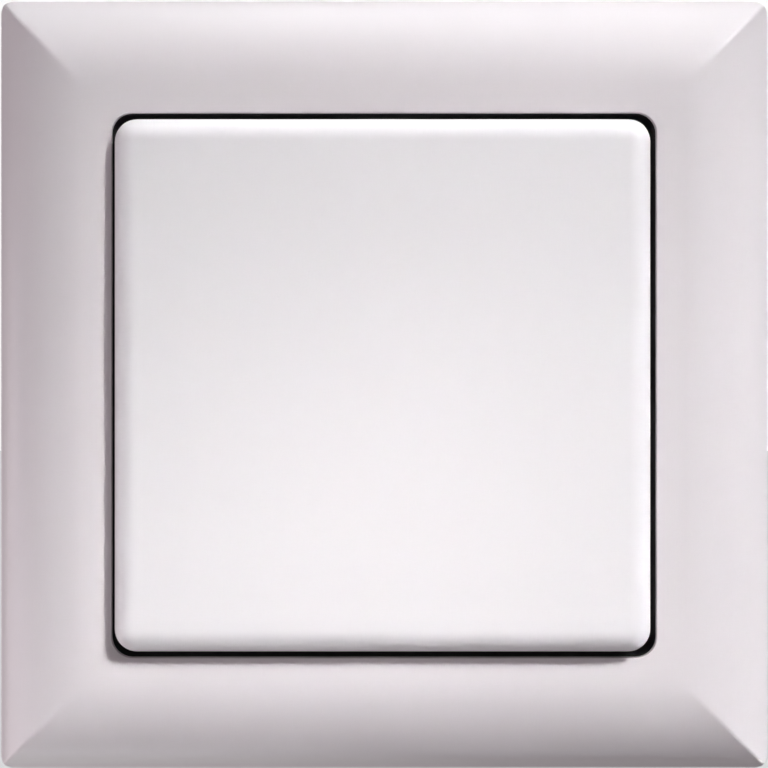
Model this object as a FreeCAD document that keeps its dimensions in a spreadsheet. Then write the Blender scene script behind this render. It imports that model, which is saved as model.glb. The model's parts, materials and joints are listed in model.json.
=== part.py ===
import FreeCAD, Part
import Sketcher
import math
import os
from collections import namedtuple
from types import SimpleNamespace

# Flush push-button light switch: a square cover frame, a rocking button and the insert behind them.
# Millimetres, +Z up, the front faces -Y, and the origin is the centre of the switch on the wall.
# A depth is counted forward from the wall, so depth is -Y, and a setback is counted behind the wall.

SIZES = {
    # Cover frame
    "frame_size": 80.5,
    "frame_corner": 1.3,
    "frame_height": 9.6,
    "frame_side": 4.8,
    "frame_land": 3.0,
    "frame_wall": 2.0,
    "opening_size": 56.2,
    "opening_corner": 2.1,
    "opening_rim": 0.12,
    "lip_depth": 3.4,
    "lip_wall": 1.6,
    "seal_depth": 2.6,
    "seal_wall": 1.2,
    "hollow_corner": 0.5,
    "rib_thickness": 1.0,
    "rib_offset": 10.0,
    "rib_setback": 1.6,
    # Latches between the cover frame and the support ring
    "lug_offset": 20.0,
    "lug_width": 6.0,
    "lug_height": 4.5,
    "latch_gap": 0.2,
    "post_thickness": 1.5,
    "post_clearance": 0.4,
    "tooth_width": 2.4,
    "tooth_height": 1.0,
    "tooth_rise": 1.6,
    "tooth_reach": 0.7,
    # Button
    "button_side_gap": 0.6,
    "button_end_gap": 0.78,
    "button_shift": 0.15,
    "button_corner": 2.3,
    "button_edge": 1.8,
    "button_proud": 2.8,
    "button_skirt": 7.2,
    "button_wall": 1.8,
    "button_rib_thickness": 1.0,
    "button_rib_height": 2.0,
    "button_rib_offset": 17.0,
    # Clips that hold the button on its carrier
    "clip_gap": 0.1,
    "clip_thickness": 1.6,
    "clip_width": 5.0,
    "clip_offset": 7.5,
    "clip_hook": 0.6,
    "clip_hook_height": 0.7,
    # Carrier that rocks in the insert cover
    "carrier_width": 24.0,
    "carrier_height": 26.0,
    "carrier_depth": 4.3,
    "carrier_wall": 1.6,
    "carrier_floor": 1.5,
    "carrier_clearance": 2.1,
    "pivot_rise": 0.9,
    "pivot_pin_radius": 1.6,
    "pivot_overhang": 0.2,
    "tube_radius": 3.0,
    "tube_length": 8.2,
    "bore_sink": 0.3,
    "running_gap": 0.05,
    # Plunger and springs
    "plunger_radius": 1.6,
    "plunger_length": 9.9,
    "plunger_gap": 0.1,
    "plunger_coil_radius": 1.2,
    "plunger_coil_wire": 0.35,
    "plunger_coil_turns": 4.0,
    "return_offset": 9.0,
    "return_coil_radius": 1.8,
    "return_coil_wire": 0.4,
    "return_coil_turns": 4.0,
    "return_stud_radius": 1.2,
    "return_stud_length": 1.2,
    # Insert cover with its bearing ears and spring wells
    "cover_thickness": 1.6,
    "cover_side_overlap": 1.75,
    "cover_end_overlap": 3.75,
    "plug_gap": 0.2,
    "plug_setback": 1.5,
    "throat_width": 8.4,
    "throat_height": 9.2,
    "well_radius": 2.5,
    "well_wall": 0.9,
    "well_floor": 1.5,
    "well_setback": 3.0,
    "ear_gap": 0.3,
    "ear_thickness": 2.0,
    "ear_width": 6.4,
    # Support ring
    "ring_inset": 4.75,
    "ring_chamfer": 9.0,
    "ring_setoff": 0.1,
    "ring_thickness": 0.9,
    "box_slot_inset": 5.5,
    "box_slot_length": 7.0,
    "box_slot_width": 4.2,
    # Insert base
    "base_width": 42.0,
    "base_height": 42.0,
    "base_depth": 22.0,
    "base_side_wall": 6.0,
    "base_end_wall": 4.0,
    "base_chamfer": 6.0,
    "base_edge": 1.0,
    "base_back_wall": 4.0,
    "coring_width": 16.0,
    "coring_depth": 1.2,
    "coring_margin": 4.0,
    "channel_width": 10.4,
    "channel_depth": 3.5,
    "pillar_width": 4.0,
    # Rivets through cover, ring and base
    "rivet_across": 12.0,
    "rivet_inset": 2.0,
    "rivet_radius": 1.1,
    "rivet_head_radius": 1.9,
    "rivet_head_height": 0.8,
    "rivet_reach": 5.5,
    # Wire entries, terminals and clamp springs
    "wire_side": 3.5,
    "terminal_margin": 1.0,
    "wire_inset": 3.0,
    "wire_radius": 1.4,
    "wire_funnel": 0.9,
    "wire_to_bar": 0.1,
    "strip_thickness": 0.8,
    "terminal_setback": 12.45,
    "terminal_width": 7.0,
    "bridge_height": 2.0,
    "tongue_width": 8.0,
    "arm_width": 4.5,
    "partition_thickness": 1.2,
    "partition_gap": 0.3,
    "partition_setback": 8.0,
    "clamp_thickness": 0.4,
    "clamp_leg": 6.5,
    "clamp_bend_radius": 1.1,
    "clamp_bend_setback": 15.5,
    "clamp_angle": 30.0,
    "clamp_tongue": 4.8,
    # Contacts
    "blade_height": 2.55,
    "blade_thickness": 1.0,
    "blade_point": 0.5,
    "blade_gap": 0.1,
    "contact_width": 5.0,
    "contact_length": 20.0,
    "contact_corner": 1.0,
    "contact_up": 8.2,
    "tip_radius": 1.5,
    "tip_height": 0.6,
    "tip_bevel": 0.3,
    "fixed_tip_radius": 1.7,
    # Release levers
    "lever_width": 6.0,
    "lever_height": 8.0,
    "lever_gap": 0.1,
    "lever_proud": 1.5,
    "lever_arm_thickness": 1.0,
    "finger_width": 1.6,
    "finger_inset": 0.3,
    "finger_length": 2.5,
    # Spreading claws and their screws
    "claw_screw_gap": 2.5,
    "claw_hole_radius": 2.1,
    "claw_screw_radius": 1.5,
    "claw_screw_length": 22.5,
    "claw_screw_point": 0.8,
    "ball_rise": 1.0,
    "ball_front": 1.3,
    "driver_slot_width": 0.8,
    "driver_slot_depth": 0.9,
    "claw_thickness": 1.2,
    "claw_width": 8.0,
    "claw_offset": 2.2,
    "claw_top_setback": 1.5,
    "claw_length": 15.5,
    "claw_foot_setback": 14.0,
    "claw_foot_gap": 0.9,
    "claw_flare_length": 3.0,
    "claw_flare_angle": 50.0,
    "claw_notch_width": 2.0,
    "claw_notch_depth": 1.5,
    "claw_notch_offset": 2.0,
    # How far a cutting shape runs past what it cuts
    "overshoot": 1.0,
}

doc = FreeCAD.newDocument("push_button_switch")
sheet = doc.addObject("Spreadsheet::Sheet", "dims")
for row, (alias, number) in enumerate(SIZES.items(), start=1):
    sheet.set(f"A{row}", alias)
    sheet.set(f"B{row}", str(number))
    sheet.setAlias(f"B{row}", alias)
doc.recompute()


class Size:
    """A measure held as a number and as the sheet expression that gives it."""

    def __init__(self, value, text):
        self.value = value
        self.text = text

    @staticmethod
    def of(measure):
        if isinstance(measure, Size):
            return measure
        return Size(float(measure), f"({measure})")

    def __add__(self, other):
        other = Size.of(other)
        return Size(self.value + other.value, f"({self.text} + {other.text})")

    def __sub__(self, other):
        other = Size.of(other)
        return Size(self.value - other.value, f"({self.text} - {other.text})")

    def __mul__(self, other):
        other = Size.of(other)
        return Size(self.value * other.value, f"({self.text} * {other.text})")

    def __truediv__(self, other):
        other = Size.of(other)
        return Size(self.value / other.value, f"({self.text} / {other.text})")

    def __neg__(self):
        return self * -1

    def root(self):
        return Size(math.sqrt(self.value), f"sqrt({self.text})")

    def sine(self):
        return Size(math.sin(math.radians(self.value)), f"sin({self.text} * 1 deg)")

    def cosine(self):
        return Size(math.cos(math.radians(self.value)), f"cos({self.text} * 1 deg)")


dim = SimpleNamespace(**{alias: Size(sheet.get(alias), f"dims.{alias}") for alias in SIZES})
ZERO = Size.of(0)
SIDES = (1, -1)
TOLERANCE = 1e-6
COIL_STEPS = 8
WIRE_SIDES = 6
PIECES = []

# Sketch planes: front shows x and z, side shows depth and z, plan shows x and depth.
PLANE_ROLES = {"front": "XZ_Plane", "side": "YZ_Plane", "plan": "XY_Plane"}
Disc = namedtuple("Disc", "across up radius")


def on_sketch(plane, first, second):
    """Turns a point of a plane into the sketch's own coordinates."""
    if plane == "side":
        return -first, second
    if plane == "plan":
        return first, -second
    return first, second


def bind(item, path, size):
    item.setExpression(path, size.text)


def tie_coordinate(sketch, geometry, end, kind, axis, size):
    """Holds one coordinate of a sketch point at a size, or on the axis where the size is nought."""
    if abs(size.value) < TOLERANCE:
        sketch.addConstraint(Sketcher.Constraint("PointOnObject", geometry, end, axis))
        return
    constraint = Sketcher.Constraint(kind, -1, 1, geometry, end, size.value)
    index = sketch.addConstraint(constraint)
    bind(sketch, f"Constraints[{index}]", size)


def tie_point(sketch, geometry, end, across, up):
    tie_coordinate(sketch, geometry, end, "DistanceX", -2, across)
    tie_coordinate(sketch, geometry, end, "DistanceY", -1, up)


def draw_disc(sketch, plane, disc):
    across, up = on_sketch(plane, disc.across, disc.up)
    centre = FreeCAD.Vector(across.value, up.value, 0)
    circle = Part.Circle(centre, FreeCAD.Vector(0, 0, 1), disc.radius.value)
    geometry = sketch.addGeometry(circle)
    tie_point(sketch, geometry, 3, across, up)
    index = sketch.addConstraint(Sketcher.Constraint("Radius", geometry, disc.radius.value))
    bind(sketch, f"Constraints[{index}]", disc.radius)


def draw_arc(sketch, start, stop, centre):
    """Adds the shorter arc between two points; returns it with the ends that lie at each point."""
    spokes = [start - centre, stop - centre]
    angles = [math.atan2(spoke.y, spoke.x) for spoke in spokes]
    turn = (angles[1] - angles[0]) % (2 * math.pi)
    forward = turn < math.pi
    low, high = angles if forward else reversed(angles)
    circle = Part.Circle(centre, FreeCAD.Vector(0, 0, 1), spokes[0].Length)
    geometry = sketch.addGeometry(Part.ArcOfCircle(circle, low, high))
    return (geometry, 1, 2) if forward else (geometry, 2, 1)


def draw_loop(sketch, plane, corners):
    """Draws a closed outline; a corner's third item is the centre of an arc to the next corner."""
    places = [on_sketch(plane, corner[0], corner[1]) for corner in corners]
    points = [FreeCAD.Vector(across.value, up.value, 0) for across, up in places]
    sides = []
    for index, corner in enumerate(corners):
        start = points[index]
        stop = points[(index + 1) % len(points)]
        if len(corner) == 2:
            line = sketch.addGeometry(Part.LineSegment(start, stop))
            sides.append((line, 1, 2, None))
            continue
        across, up = on_sketch(plane, *corner[2])
        arc, first, last = draw_arc(sketch, start, stop, FreeCAD.Vector(across.value, up.value, 0))
        chord = stop - start
        steep = abs(chord.x) <= abs(chord.y)
        centre_tie = ("DistanceX", -2, across) if steep else ("DistanceY", -1, up)
        sides.append((arc, first, last, centre_tie))
    for index, (geometry, first, last, centre_tie) in enumerate(sides):
        following, following_first = sides[(index + 1) % len(sides)][:2]
        join = Sketcher.Constraint("Coincident", geometry, last, following, following_first)
        sketch.addConstraint(join)
        tie_point(sketch, geometry, first, *places[index])
        if centre_tie:
            tie_coordinate(sketch, geometry, 3, *centre_tie)


def sketch_on(body, plane, offset, shapes):
    """Makes a sketch on one of the body's own planes, moved along its normal."""
    sketch = body.newObject("Sketcher::SketchObject", "outline")
    role = PLANE_ROLES[plane]
    support = next(item for item in body.Origin.OriginFeatures if item.Role == role)
    sketch.AttachmentSupport = [(support, "")]
    sketch.MapMode = "FlatFace"
    bind(sketch, "AttachmentOffset.Base.z", offset)
    for shape in shapes:
        if isinstance(shape, Disc):
            draw_disc(sketch, plane, shape)
        else:
            draw_loop(sketch, plane, shape)
    return sketch


def settle(body, before, grows):
    """Recomputes and makes sure that the last feature added or removed material."""
    doc.recompute()
    change = body.Shape.Volume - before
    if change * (1 if grows else -1) <= TOLERANCE:
        raise ValueError(f"{body.Label}: {body.Tip.Name} changed the volume by {change}")


def volume_of(body):
    return 0.0 if body.Shape.isNull() else body.Shape.Volume


def add(body, plane, start, stop, shapes):
    """Pads outlines from start to stop along the plane's normal."""
    before = volume_of(body)
    sketch = sketch_on(body, plane, start, shapes)
    pad = body.newObject("PartDesign::Pad", "pad")
    pad.Profile = sketch
    bind(pad, "Length", stop - start)
    body.Tip = pad
    settle(body, before, True)


def cut(body, plane, start, stop, shapes):
    """Pockets outlines between start and stop along the plane's normal."""
    before = volume_of(body)
    sketch = sketch_on(body, plane, stop, shapes)
    pocket = body.newObject("PartDesign::Pocket", "pocket")
    pocket.Profile = sketch
    bind(pocket, "Length", stop - start)
    body.Tip = pocket
    settle(body, before, False)


def turn(body, across, up, corners):
    """Revolves a profile of radius and depth about a line through across and up, square to the wall."""
    sketch = sketch_on(body, "plan", up, [corners])
    bind(sketch, "AttachmentOffset.Base.x", across)
    revolution = body.newObject("PartDesign::Revolution", "turned")
    revolution.Profile = sketch
    revolution.ReferenceAxis = (sketch, ["V_Axis"])
    body.Tip = revolution
    settle(body, 0.0, True)


def soften(body, kind, size, wanted):
    """Fillets or chamfers the edges for which wanted is true."""
    before = body.Shape.Volume
    base = body.Tip
    names = [f"Edge{n}" for n, edge in enumerate(base.Shape.Edges, start=1) if wanted(edge)]
    feature = body.newObject(f"PartDesign::{kind}", kind.lower())
    feature.Base = (base, names)
    bind(feature, "Radius" if kind == "Fillet" else "Size", size)
    body.Tip = feature
    settle(body, before, False)


def at_depth(depth):
    """A test for edges that lie wholly at one depth."""
    def lies_there(edge):
        box = edge.BoundBox
        return abs(box.YMin + depth.value) < TOLERANCE and abs(box.YMax + depth.value) < TOLERANCE
    return lies_there


def rectangle(across, up, width, height):
    half_width = width / 2
    half_height = height / 2
    return [
        (across - half_width, up - half_height),
        (across + half_width, up - half_height),
        (across + half_width, up + half_height),
        (across - half_width, up + half_height),
    ]


def span(first_low, first_high, second_low, second_high):
    """A rectangle given by its four limits."""
    return rectangle(
        (first_low + first_high) / 2,
        (second_low + second_high) / 2,
        first_high - first_low,
        second_high - second_low,
    )


def rounded(across, up, width, height, radius):
    left = across - width / 2
    right = across + width / 2
    bottom = up - height / 2
    top = up + height / 2
    return [
        (left + radius, bottom),
        (right - radius, bottom, (right - radius, bottom + radius)),
        (right, bottom + radius),
        (right, top - radius, (right - radius, top - radius)),
        (right - radius, top),
        (left + radius, top, (left + radius, top - radius)),
        (left, top - radius),
        (left, bottom + radius, (left + radius, bottom + radius)),
    ]


def slot(across, up, reach, radius):
    """A level slot with round ends whose centres lie reach either side of its middle."""
    right = across + reach
    left = across - reach
    return [
        (left, up - radius),
        (right, up - radius, (right, up)),
        (right + radius, up, (right, up)),
        (right, up + radius),
        (left, up + radius, (left, up)),
        (left - radius, up, (left, up)),
    ]


def transposed(corners):
    """The same outline with its two coordinates changed over."""
    turned = []
    for first, second, *centres in corners:
        turned.append((second, first) + tuple((c[1], c[0]) for c in centres))
    return turned


def mirrored(corners, side):
    """The same outline, turned over to the other side where side is -1."""
    turned = []
    for across, depth, *centres in corners:
        turned.append((across * side, depth) + tuple((c[0] * side, c[1]) for c in centres))
    return turned


def chamfered(width, height, chamfer):
    half_width = width / 2
    half_height = height / 2
    return [
        (half_width - chamfer, -half_height),
        (half_width, chamfer - half_height),
        (half_width, half_height - chamfer),
        (half_width - chamfer, half_height),
        (chamfer - half_width, half_height),
        (-half_width, half_height - chamfer),
        (-half_width, chamfer - half_height),
        (chamfer - half_width, -half_height),
    ]


def ordered(one, other):
    """Two limits, lower first."""
    return (one, other) if one.value < other.value else (other, one)


def new_body(label):
    body = doc.addObject("PartDesign::Body", label)
    body.Label = label
    return body


def piece(label):
    body = new_body(label)
    PIECES.append(body)
    return body


# Places that several pieces share
ring_size = dim.frame_size - dim.ring_inset * 2
ring_back = dim.ring_setoff
ring_front = ring_back + dim.ring_thickness
window_width = dim.base_width - dim.base_side_wall * 2
window_height = dim.base_height - dim.base_end_wall * 2
cover_front = ring_front + dim.cover_thickness
carrier_back = cover_front + dim.carrier_clearance
carrier_front = carrier_back + dim.carrier_depth
carrier_half = dim.carrier_width / 2
pivot_depth = carrier_back + dim.pivot_rise
tube_end = carrier_back - dim.tube_length
bore_end = carrier_back + dim.bore_sink
plunger_bore = dim.plunger_radius + dim.running_gap
button_front = dim.frame_height + dim.button_proud
button_back = button_front - dim.button_skirt
button_inside = button_front - dim.button_wall
lip_back = dim.frame_height - dim.lip_depth
lip_outside = dim.opening_size / 2 + dim.lip_wall
seal_back = lip_back - dim.seal_depth
lug_outside = ring_size / 2
lug_inside = lug_outside - dim.ring_thickness
post_inside = lug_outside + dim.latch_gap
tooth_low = ring_front + dim.tooth_rise
tooth_high = tooth_low + dim.tooth_height
rivet_up = window_height / 2 + dim.rivet_inset
rivet_hole = dim.rivet_radius + dim.running_gap
rivet_places = [(dim.rivet_across * side, rivet_up * side) for side in SIDES]
well_floor_depth = -dim.well_setback
well_back = well_floor_depth - dim.well_floor
base_floor = dim.base_back_wall - dim.base_depth
base_back = -dim.base_depth
wire_across = window_width / 2 - dim.wire_side
terminal_front = -dim.terminal_setback
terminal_back = terminal_front - dim.strip_thickness
terminal_high = window_height / 2 - dim.terminal_margin
terminal_low = terminal_high - dim.terminal_width
wire_up = terminal_high - dim.wire_inset
bar_outside = wire_across - dim.wire_radius - dim.wire_to_bar
bar_inside = bar_outside - dim.strip_thickness
contact_back = terminal_front + dim.blade_height + dim.blade_gap
contact_front = contact_back + dim.strip_thickness
plunger_tip = contact_front + dim.plunger_gap
plunger_top = plunger_tip + dim.plunger_length
arm_low = dim.contact_up - dim.arm_width / 2
arm_high = dim.contact_up + dim.arm_width / 2
partition_low = arm_high + dim.partition_gap
channel_inside = dim.base_width / 2 - dim.channel_depth
claw_screw_across = channel_inside + dim.claw_screw_gap
ball_depth = ring_front + dim.ball_rise
ball_seat = (dim.claw_hole_radius * dim.claw_hole_radius + dim.ball_rise * dim.ball_rise).root()
ball_radius = ball_seat - dim.running_gap


def crowned_block(body, half, corner, height, side, run, radius):
    """A square block whose four sides curve down from a flat middle and meet in mitred corners."""
    add(body, "front", ZERO, height, [rounded(ZERO, ZERO, half * 2, half * 2, corner)])
    shoulder = half - run
    outside = half + dim.overshoot
    above = height + dim.overshoot
    centre_depth = height - radius
    for plane in ("side", "plan"):
        outlines = []
        for end in SIDES:
            outline = [
                (height, shoulder * end, (centre_depth, shoulder * end)),
                (side, half * end),
                (side, outside * end),
                (above, outside * end),
                (above, shoulder * end),
            ]
            outlines.append(transposed(outline) if plane == "plan" else outline)
        cut(body, plane, -outside, outside, outlines)


def cover_frame():
    half = dim.frame_size / 2
    run = half - dim.opening_size / 2 - dim.frame_land
    rise = dim.frame_height - dim.frame_side
    radius = (run * run + rise * rise) / (rise * 2)

    # Outer form with the opening, its bevelled rim and the step behind the lip
    blank = new_body("frame_blank")
    crowned_block(blank, half, dim.frame_corner, dim.frame_height, dim.frame_side, run, radius)
    opening = rounded(ZERO, ZERO, dim.opening_size, dim.opening_size, dim.opening_corner)
    cut(blank, "front", -dim.overshoot, dim.frame_height, [opening])

    def opening_edge(edge):
        reach = max(abs(edge.BoundBox.XMax), abs(edge.BoundBox.ZMax))
        return at_depth(dim.frame_height)(edge) and reach < dim.opening_size.value / 2 + TOLERANCE

    soften(blank, "Chamfer", dim.opening_rim, opening_edge)
    lip_square = lip_outside * 2
    step = rounded(ZERO, ZERO, lip_square, lip_square, dim.opening_corner)
    cut(blank, "front", ZERO, lip_back, [step])

    # Hollow under the skin; what is left out of it stays as ribs, latch posts and teeth
    hollow = new_body("frame_hollow")
    inner_half = half - dim.frame_wall
    inner_run = run - dim.frame_wall
    inner_radius = radius - dim.frame_wall
    inner_height = dim.frame_height - dim.frame_wall
    drop = (inner_radius * inner_radius - inner_run * inner_run).root()
    inner_side = dim.frame_height - radius + drop
    crowned_block(
        hollow, inner_half, dim.hollow_corner, inner_height, inner_side, inner_run, inner_radius,
    )
    cut(hollow, "front", -dim.overshoot, inner_height, [step])

    past_wall = inner_half + dim.overshoot
    rib_middle = (lip_outside + past_wall) / 2
    rib_length = past_wall - lip_outside
    ribs = []
    for side in SIDES:
        for end in SIDES:
            across = dim.rib_offset * side
            ribs.append(rectangle(across, rib_middle * end, dim.rib_thickness, rib_length))
            ribs.append(rectangle(rib_middle * end, across, rib_length, dim.rib_thickness))
    cut(hollow, "front", dim.rib_setback, inner_height, ribs)

    posts = []
    teeth = []
    for side in SIDES:
        for end in SIDES:
            across = dim.lug_offset * side
            post_middle = (post_inside + dim.post_thickness / 2) * end
            tooth_middle = (post_inside - dim.tooth_reach / 2) * end
            posts.append(rectangle(across, post_middle, dim.lug_width, dim.post_thickness))
            teeth.append(rectangle(across, tooth_middle, dim.tooth_width, dim.tooth_reach))
    cut(hollow, "front", ring_front + dim.post_clearance, inner_height, posts)
    cut(hollow, "front", tooth_low, tooth_high, teeth)

    frame = doc.addObject("Part::Cut", "cover_frame")
    frame.Base = blank
    frame.Tool = hollow
    frame.Label = "cover_frame"
    PIECES.append(frame)


def gap_seal():
    """Rubber skirt behind the frame's lip that closes the gap round the button."""
    body = piece("gap_seal")
    size = dim.opening_size + dim.seal_wall * 2
    add(body, "front", seal_back, lip_back, [rounded(ZERO, ZERO, size, size, dim.opening_corner)])
    opening = rounded(ZERO, ZERO, dim.opening_size, dim.opening_size, dim.opening_corner)
    cut(body, "front", seal_back, lip_back, [opening])


def rocker_button():
    width = dim.opening_size - dim.button_side_gap * 2
    height = dim.opening_size - dim.button_end_gap * 2
    inner_width = width - dim.button_wall * 2
    inner_height = height - dim.button_wall * 2
    inner_corner = dim.button_corner - dim.button_wall
    middle = -dim.button_shift
    body = piece("rocker_button")
    outside = rounded(middle, ZERO, width, height, dim.button_corner)
    add(body, "front", button_back, button_front, [outside])
    soften(body, "Fillet", dim.button_edge, at_depth(button_front))
    inside = rounded(middle, ZERO, inner_width, inner_height, inner_corner)
    cut(body, "front", button_back, button_inside, [inside])

    # Stiffening ribs from wall to wall
    into_wall = dim.button_wall / 2
    ribs = []
    for end in SIDES:
        place = dim.button_rib_offset * end
        ribs.append(rectangle(middle, place, inner_width + into_wall, dim.button_rib_thickness))
    rib_back = button_inside - dim.button_rib_height
    rib_front = button_inside + into_wall
    add(body, "front", rib_back, rib_front, ribs)
    uprights = []
    for side in SIDES:
        place = dim.button_rib_offset * side
        uprights.append(rectangle(place, ZERO, dim.button_rib_thickness, inner_height + into_wall))
    add(body, "front", rib_back, rib_front, uprights)

    # Pads that rest on the carrier's rim, and clip legs that hook behind it
    seat = carrier_half - dim.carrier_wall / 2
    seat_height = dim.carrier_height - dim.carrier_wall * 2
    seats = [rectangle(seat * side, ZERO, dim.carrier_wall, seat_height) for side in SIDES]
    add(body, "front", carrier_front, rib_front, seats)
    leg_inside = carrier_half + dim.clip_gap
    leg_middle = leg_inside + dim.clip_thickness / 2
    hook_middle = leg_inside - dim.clip_hook / 2 + dim.clip_thickness / 4
    hook_width = dim.clip_hook + dim.clip_thickness / 2
    hook_top = carrier_back - dim.clip_gap
    leg_end = hook_top - dim.clip_hook_height
    legs = []
    hooks = []
    for side in SIDES:
        for end in SIDES:
            up = dim.clip_offset * end
            legs.append(rectangle(leg_middle * side, up, dim.clip_thickness, dim.clip_width))
            hooks.append(rectangle(hook_middle * side, up, hook_width, dim.clip_width))
    add(body, "front", leg_end, rib_front, legs)
    add(body, "front", leg_end, hook_top, hooks)


def rocker_carrier():
    body = piece("rocker_carrier")
    inner_width = dim.carrier_width - dim.carrier_wall * 2
    inner_height = dim.carrier_height - dim.carrier_wall * 2
    tray = rectangle(ZERO, ZERO, dim.carrier_width, dim.carrier_height)
    add(body, "front", carrier_back, carrier_front, [tray])
    floor_front = carrier_back + dim.carrier_floor
    cut(body, "front", floor_front, carrier_front, [rectangle(ZERO, ZERO, inner_width, inner_height)])

    # Pivot pins, held in the ears of the insert cover
    pin_root = carrier_half - dim.carrier_wall
    pin_end = carrier_half + dim.ear_gap + dim.ear_thickness + dim.pivot_overhang
    pin = Disc(pivot_depth, ZERO, dim.pivot_pin_radius)
    for side in SIDES:
        low, high = ordered(pin_root * side, pin_end * side)
        add(body, "side", low, high, [pin])

    # Plunger tube and the studs that centre the return springs
    add(body, "front", tube_end, floor_front, [Disc(ZERO, ZERO, dim.tube_radius)])
    stud_end = carrier_back - dim.return_stud_length
    studs = [Disc(ZERO, dim.return_offset * end, dim.return_stud_radius) for end in SIDES]
    add(body, "front", stud_end, floor_front, studs)
    cut(body, "front", tube_end, bore_end, [Disc(ZERO, ZERO, plunger_bore)])


def plunger():
    body = piece("plunger")
    round_depth = plunger_tip + dim.plunger_radius
    turn(body, ZERO, ZERO, [
        (ZERO, plunger_tip, (ZERO, round_depth)),
        (dim.plunger_radius, round_depth),
        (dim.plunger_radius, plunger_top),
        (ZERO, plunger_top),
    ])


def polygon_face(points):
    return Part.Face(Part.makePolygon(points + points[:1]))


def coil_spring(label, up, back, front, radius, wire, turns):
    """A coil of six-sided wire between two seats, wound in short straight lengths to keep its faces few.

    Station i turns by i * 360 / COIL_STEPS degrees and climbs evenly; its six corners lie round the
    wire's middle, in the plane through the coil's axis.
    """
    steps = round(turns.value * COIL_STEPS)
    climb = (front.value - back.value - wire.value) / steps
    stations = []
    for index in range(steps + 1):
        spin = 2 * math.pi * index / COIL_STEPS
        outward = FreeCAD.Vector(math.cos(spin), math.sin(spin), 0)
        middle = outward * radius.value + FreeCAD.Vector(0, 0, wire.value / 2 + climb * index)
        corners = []
        for number in range(WIRE_SIDES):
            angle = 2 * math.pi * number / WIRE_SIDES
            along = FreeCAD.Vector(0, 0, math.sin(angle))
            corners.append(middle + (outward * math.cos(angle) + along) * (wire.value / 2))
        stations.append(corners)
    faces = [polygon_face(stations[0]), polygon_face(stations[-1])]
    for here, there in zip(stations, stations[1:]):
        for number in range(WIRE_SIDES):
            following = (number + 1) % WIRE_SIDES
            faces.append(polygon_face([here[number], here[following], there[following]]))
            faces.append(polygon_face([here[number], there[following], there[number]]))
    coil = doc.addObject("Part::Feature", label)
    coil.Label = label
    coil.Shape = Part.Solid(Part.Shell(faces))
    square_to_wall = FreeCAD.Rotation(FreeCAD.Vector(1, 0, 0), 90)
    coil.Placement = FreeCAD.Placement(FreeCAD.Vector(0, -back.value, up.value), square_to_wall)
    PIECES.append(coil)


def springs():
    coil_spring(
        "plunger_spring", ZERO, plunger_top, bore_end,
        dim.plunger_coil_radius, dim.plunger_coil_wire, dim.plunger_coil_turns,
    )
    for name, end in (("upper", 1), ("lower", -1)):
        coil_spring(
            f"return_spring_{name}", dim.return_offset * end, well_floor_depth, carrier_back,
            dim.return_coil_radius, dim.return_coil_wire, dim.return_coil_turns,
        )


def insert_cover():
    body = piece("insert_cover")
    width = window_width + dim.cover_side_overlap * 2
    height = window_height + dim.cover_end_overlap * 2
    add(body, "front", ring_front, cover_front, [rectangle(ZERO, ZERO, width, height)])
    plug_width = window_width - dim.plug_gap * 2
    plug_height = window_height - dim.plug_gap * 2
    plug_back = -dim.plug_setback
    plug = rectangle(ZERO, ZERO, plug_width, plug_height)
    add(body, "front", plug_back, ring_front, [plug])

    # Bearing ears for the carrier's pins
    ear_half = dim.ear_width / 2
    crown = (pivot_depth, ZERO)
    profile = [
        (ring_front, -ear_half),
        (pivot_depth, -ear_half, crown),
        (pivot_depth + ear_half, ZERO, crown),
        (pivot_depth, ear_half),
        (ring_front, ear_half),
    ]
    ear_inside = carrier_half + dim.ear_gap
    ear_outside = ear_inside + dim.ear_thickness
    bearing = Disc(pivot_depth, ZERO, dim.pivot_pin_radius + dim.running_gap)
    for side in SIDES:
        low, high = ordered(ear_inside * side, ear_outside * side)
        add(body, "side", low, high, [profile])
        cut(body, "side", low, high, [bearing])

    # Spring wells, the throat for the plunger tube and the rivet holes
    wells = [(ZERO, dim.return_offset * end) for end in SIDES]
    cup_radius = dim.well_radius + dim.well_wall
    add(body, "front", well_back, plug_back, [Disc(*place, cup_radius) for place in wells])
    cut(body, "front", well_floor_depth, cover_front, [Disc(*place, dim.well_radius) for place in wells])
    throat = rectangle(ZERO, ZERO, dim.throat_width, dim.throat_height)
    cut(body, "front", well_back, cover_front, [throat])
    cut(body, "front", ring_front, cover_front, [Disc(*place, rivet_hole) for place in rivet_places])


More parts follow.
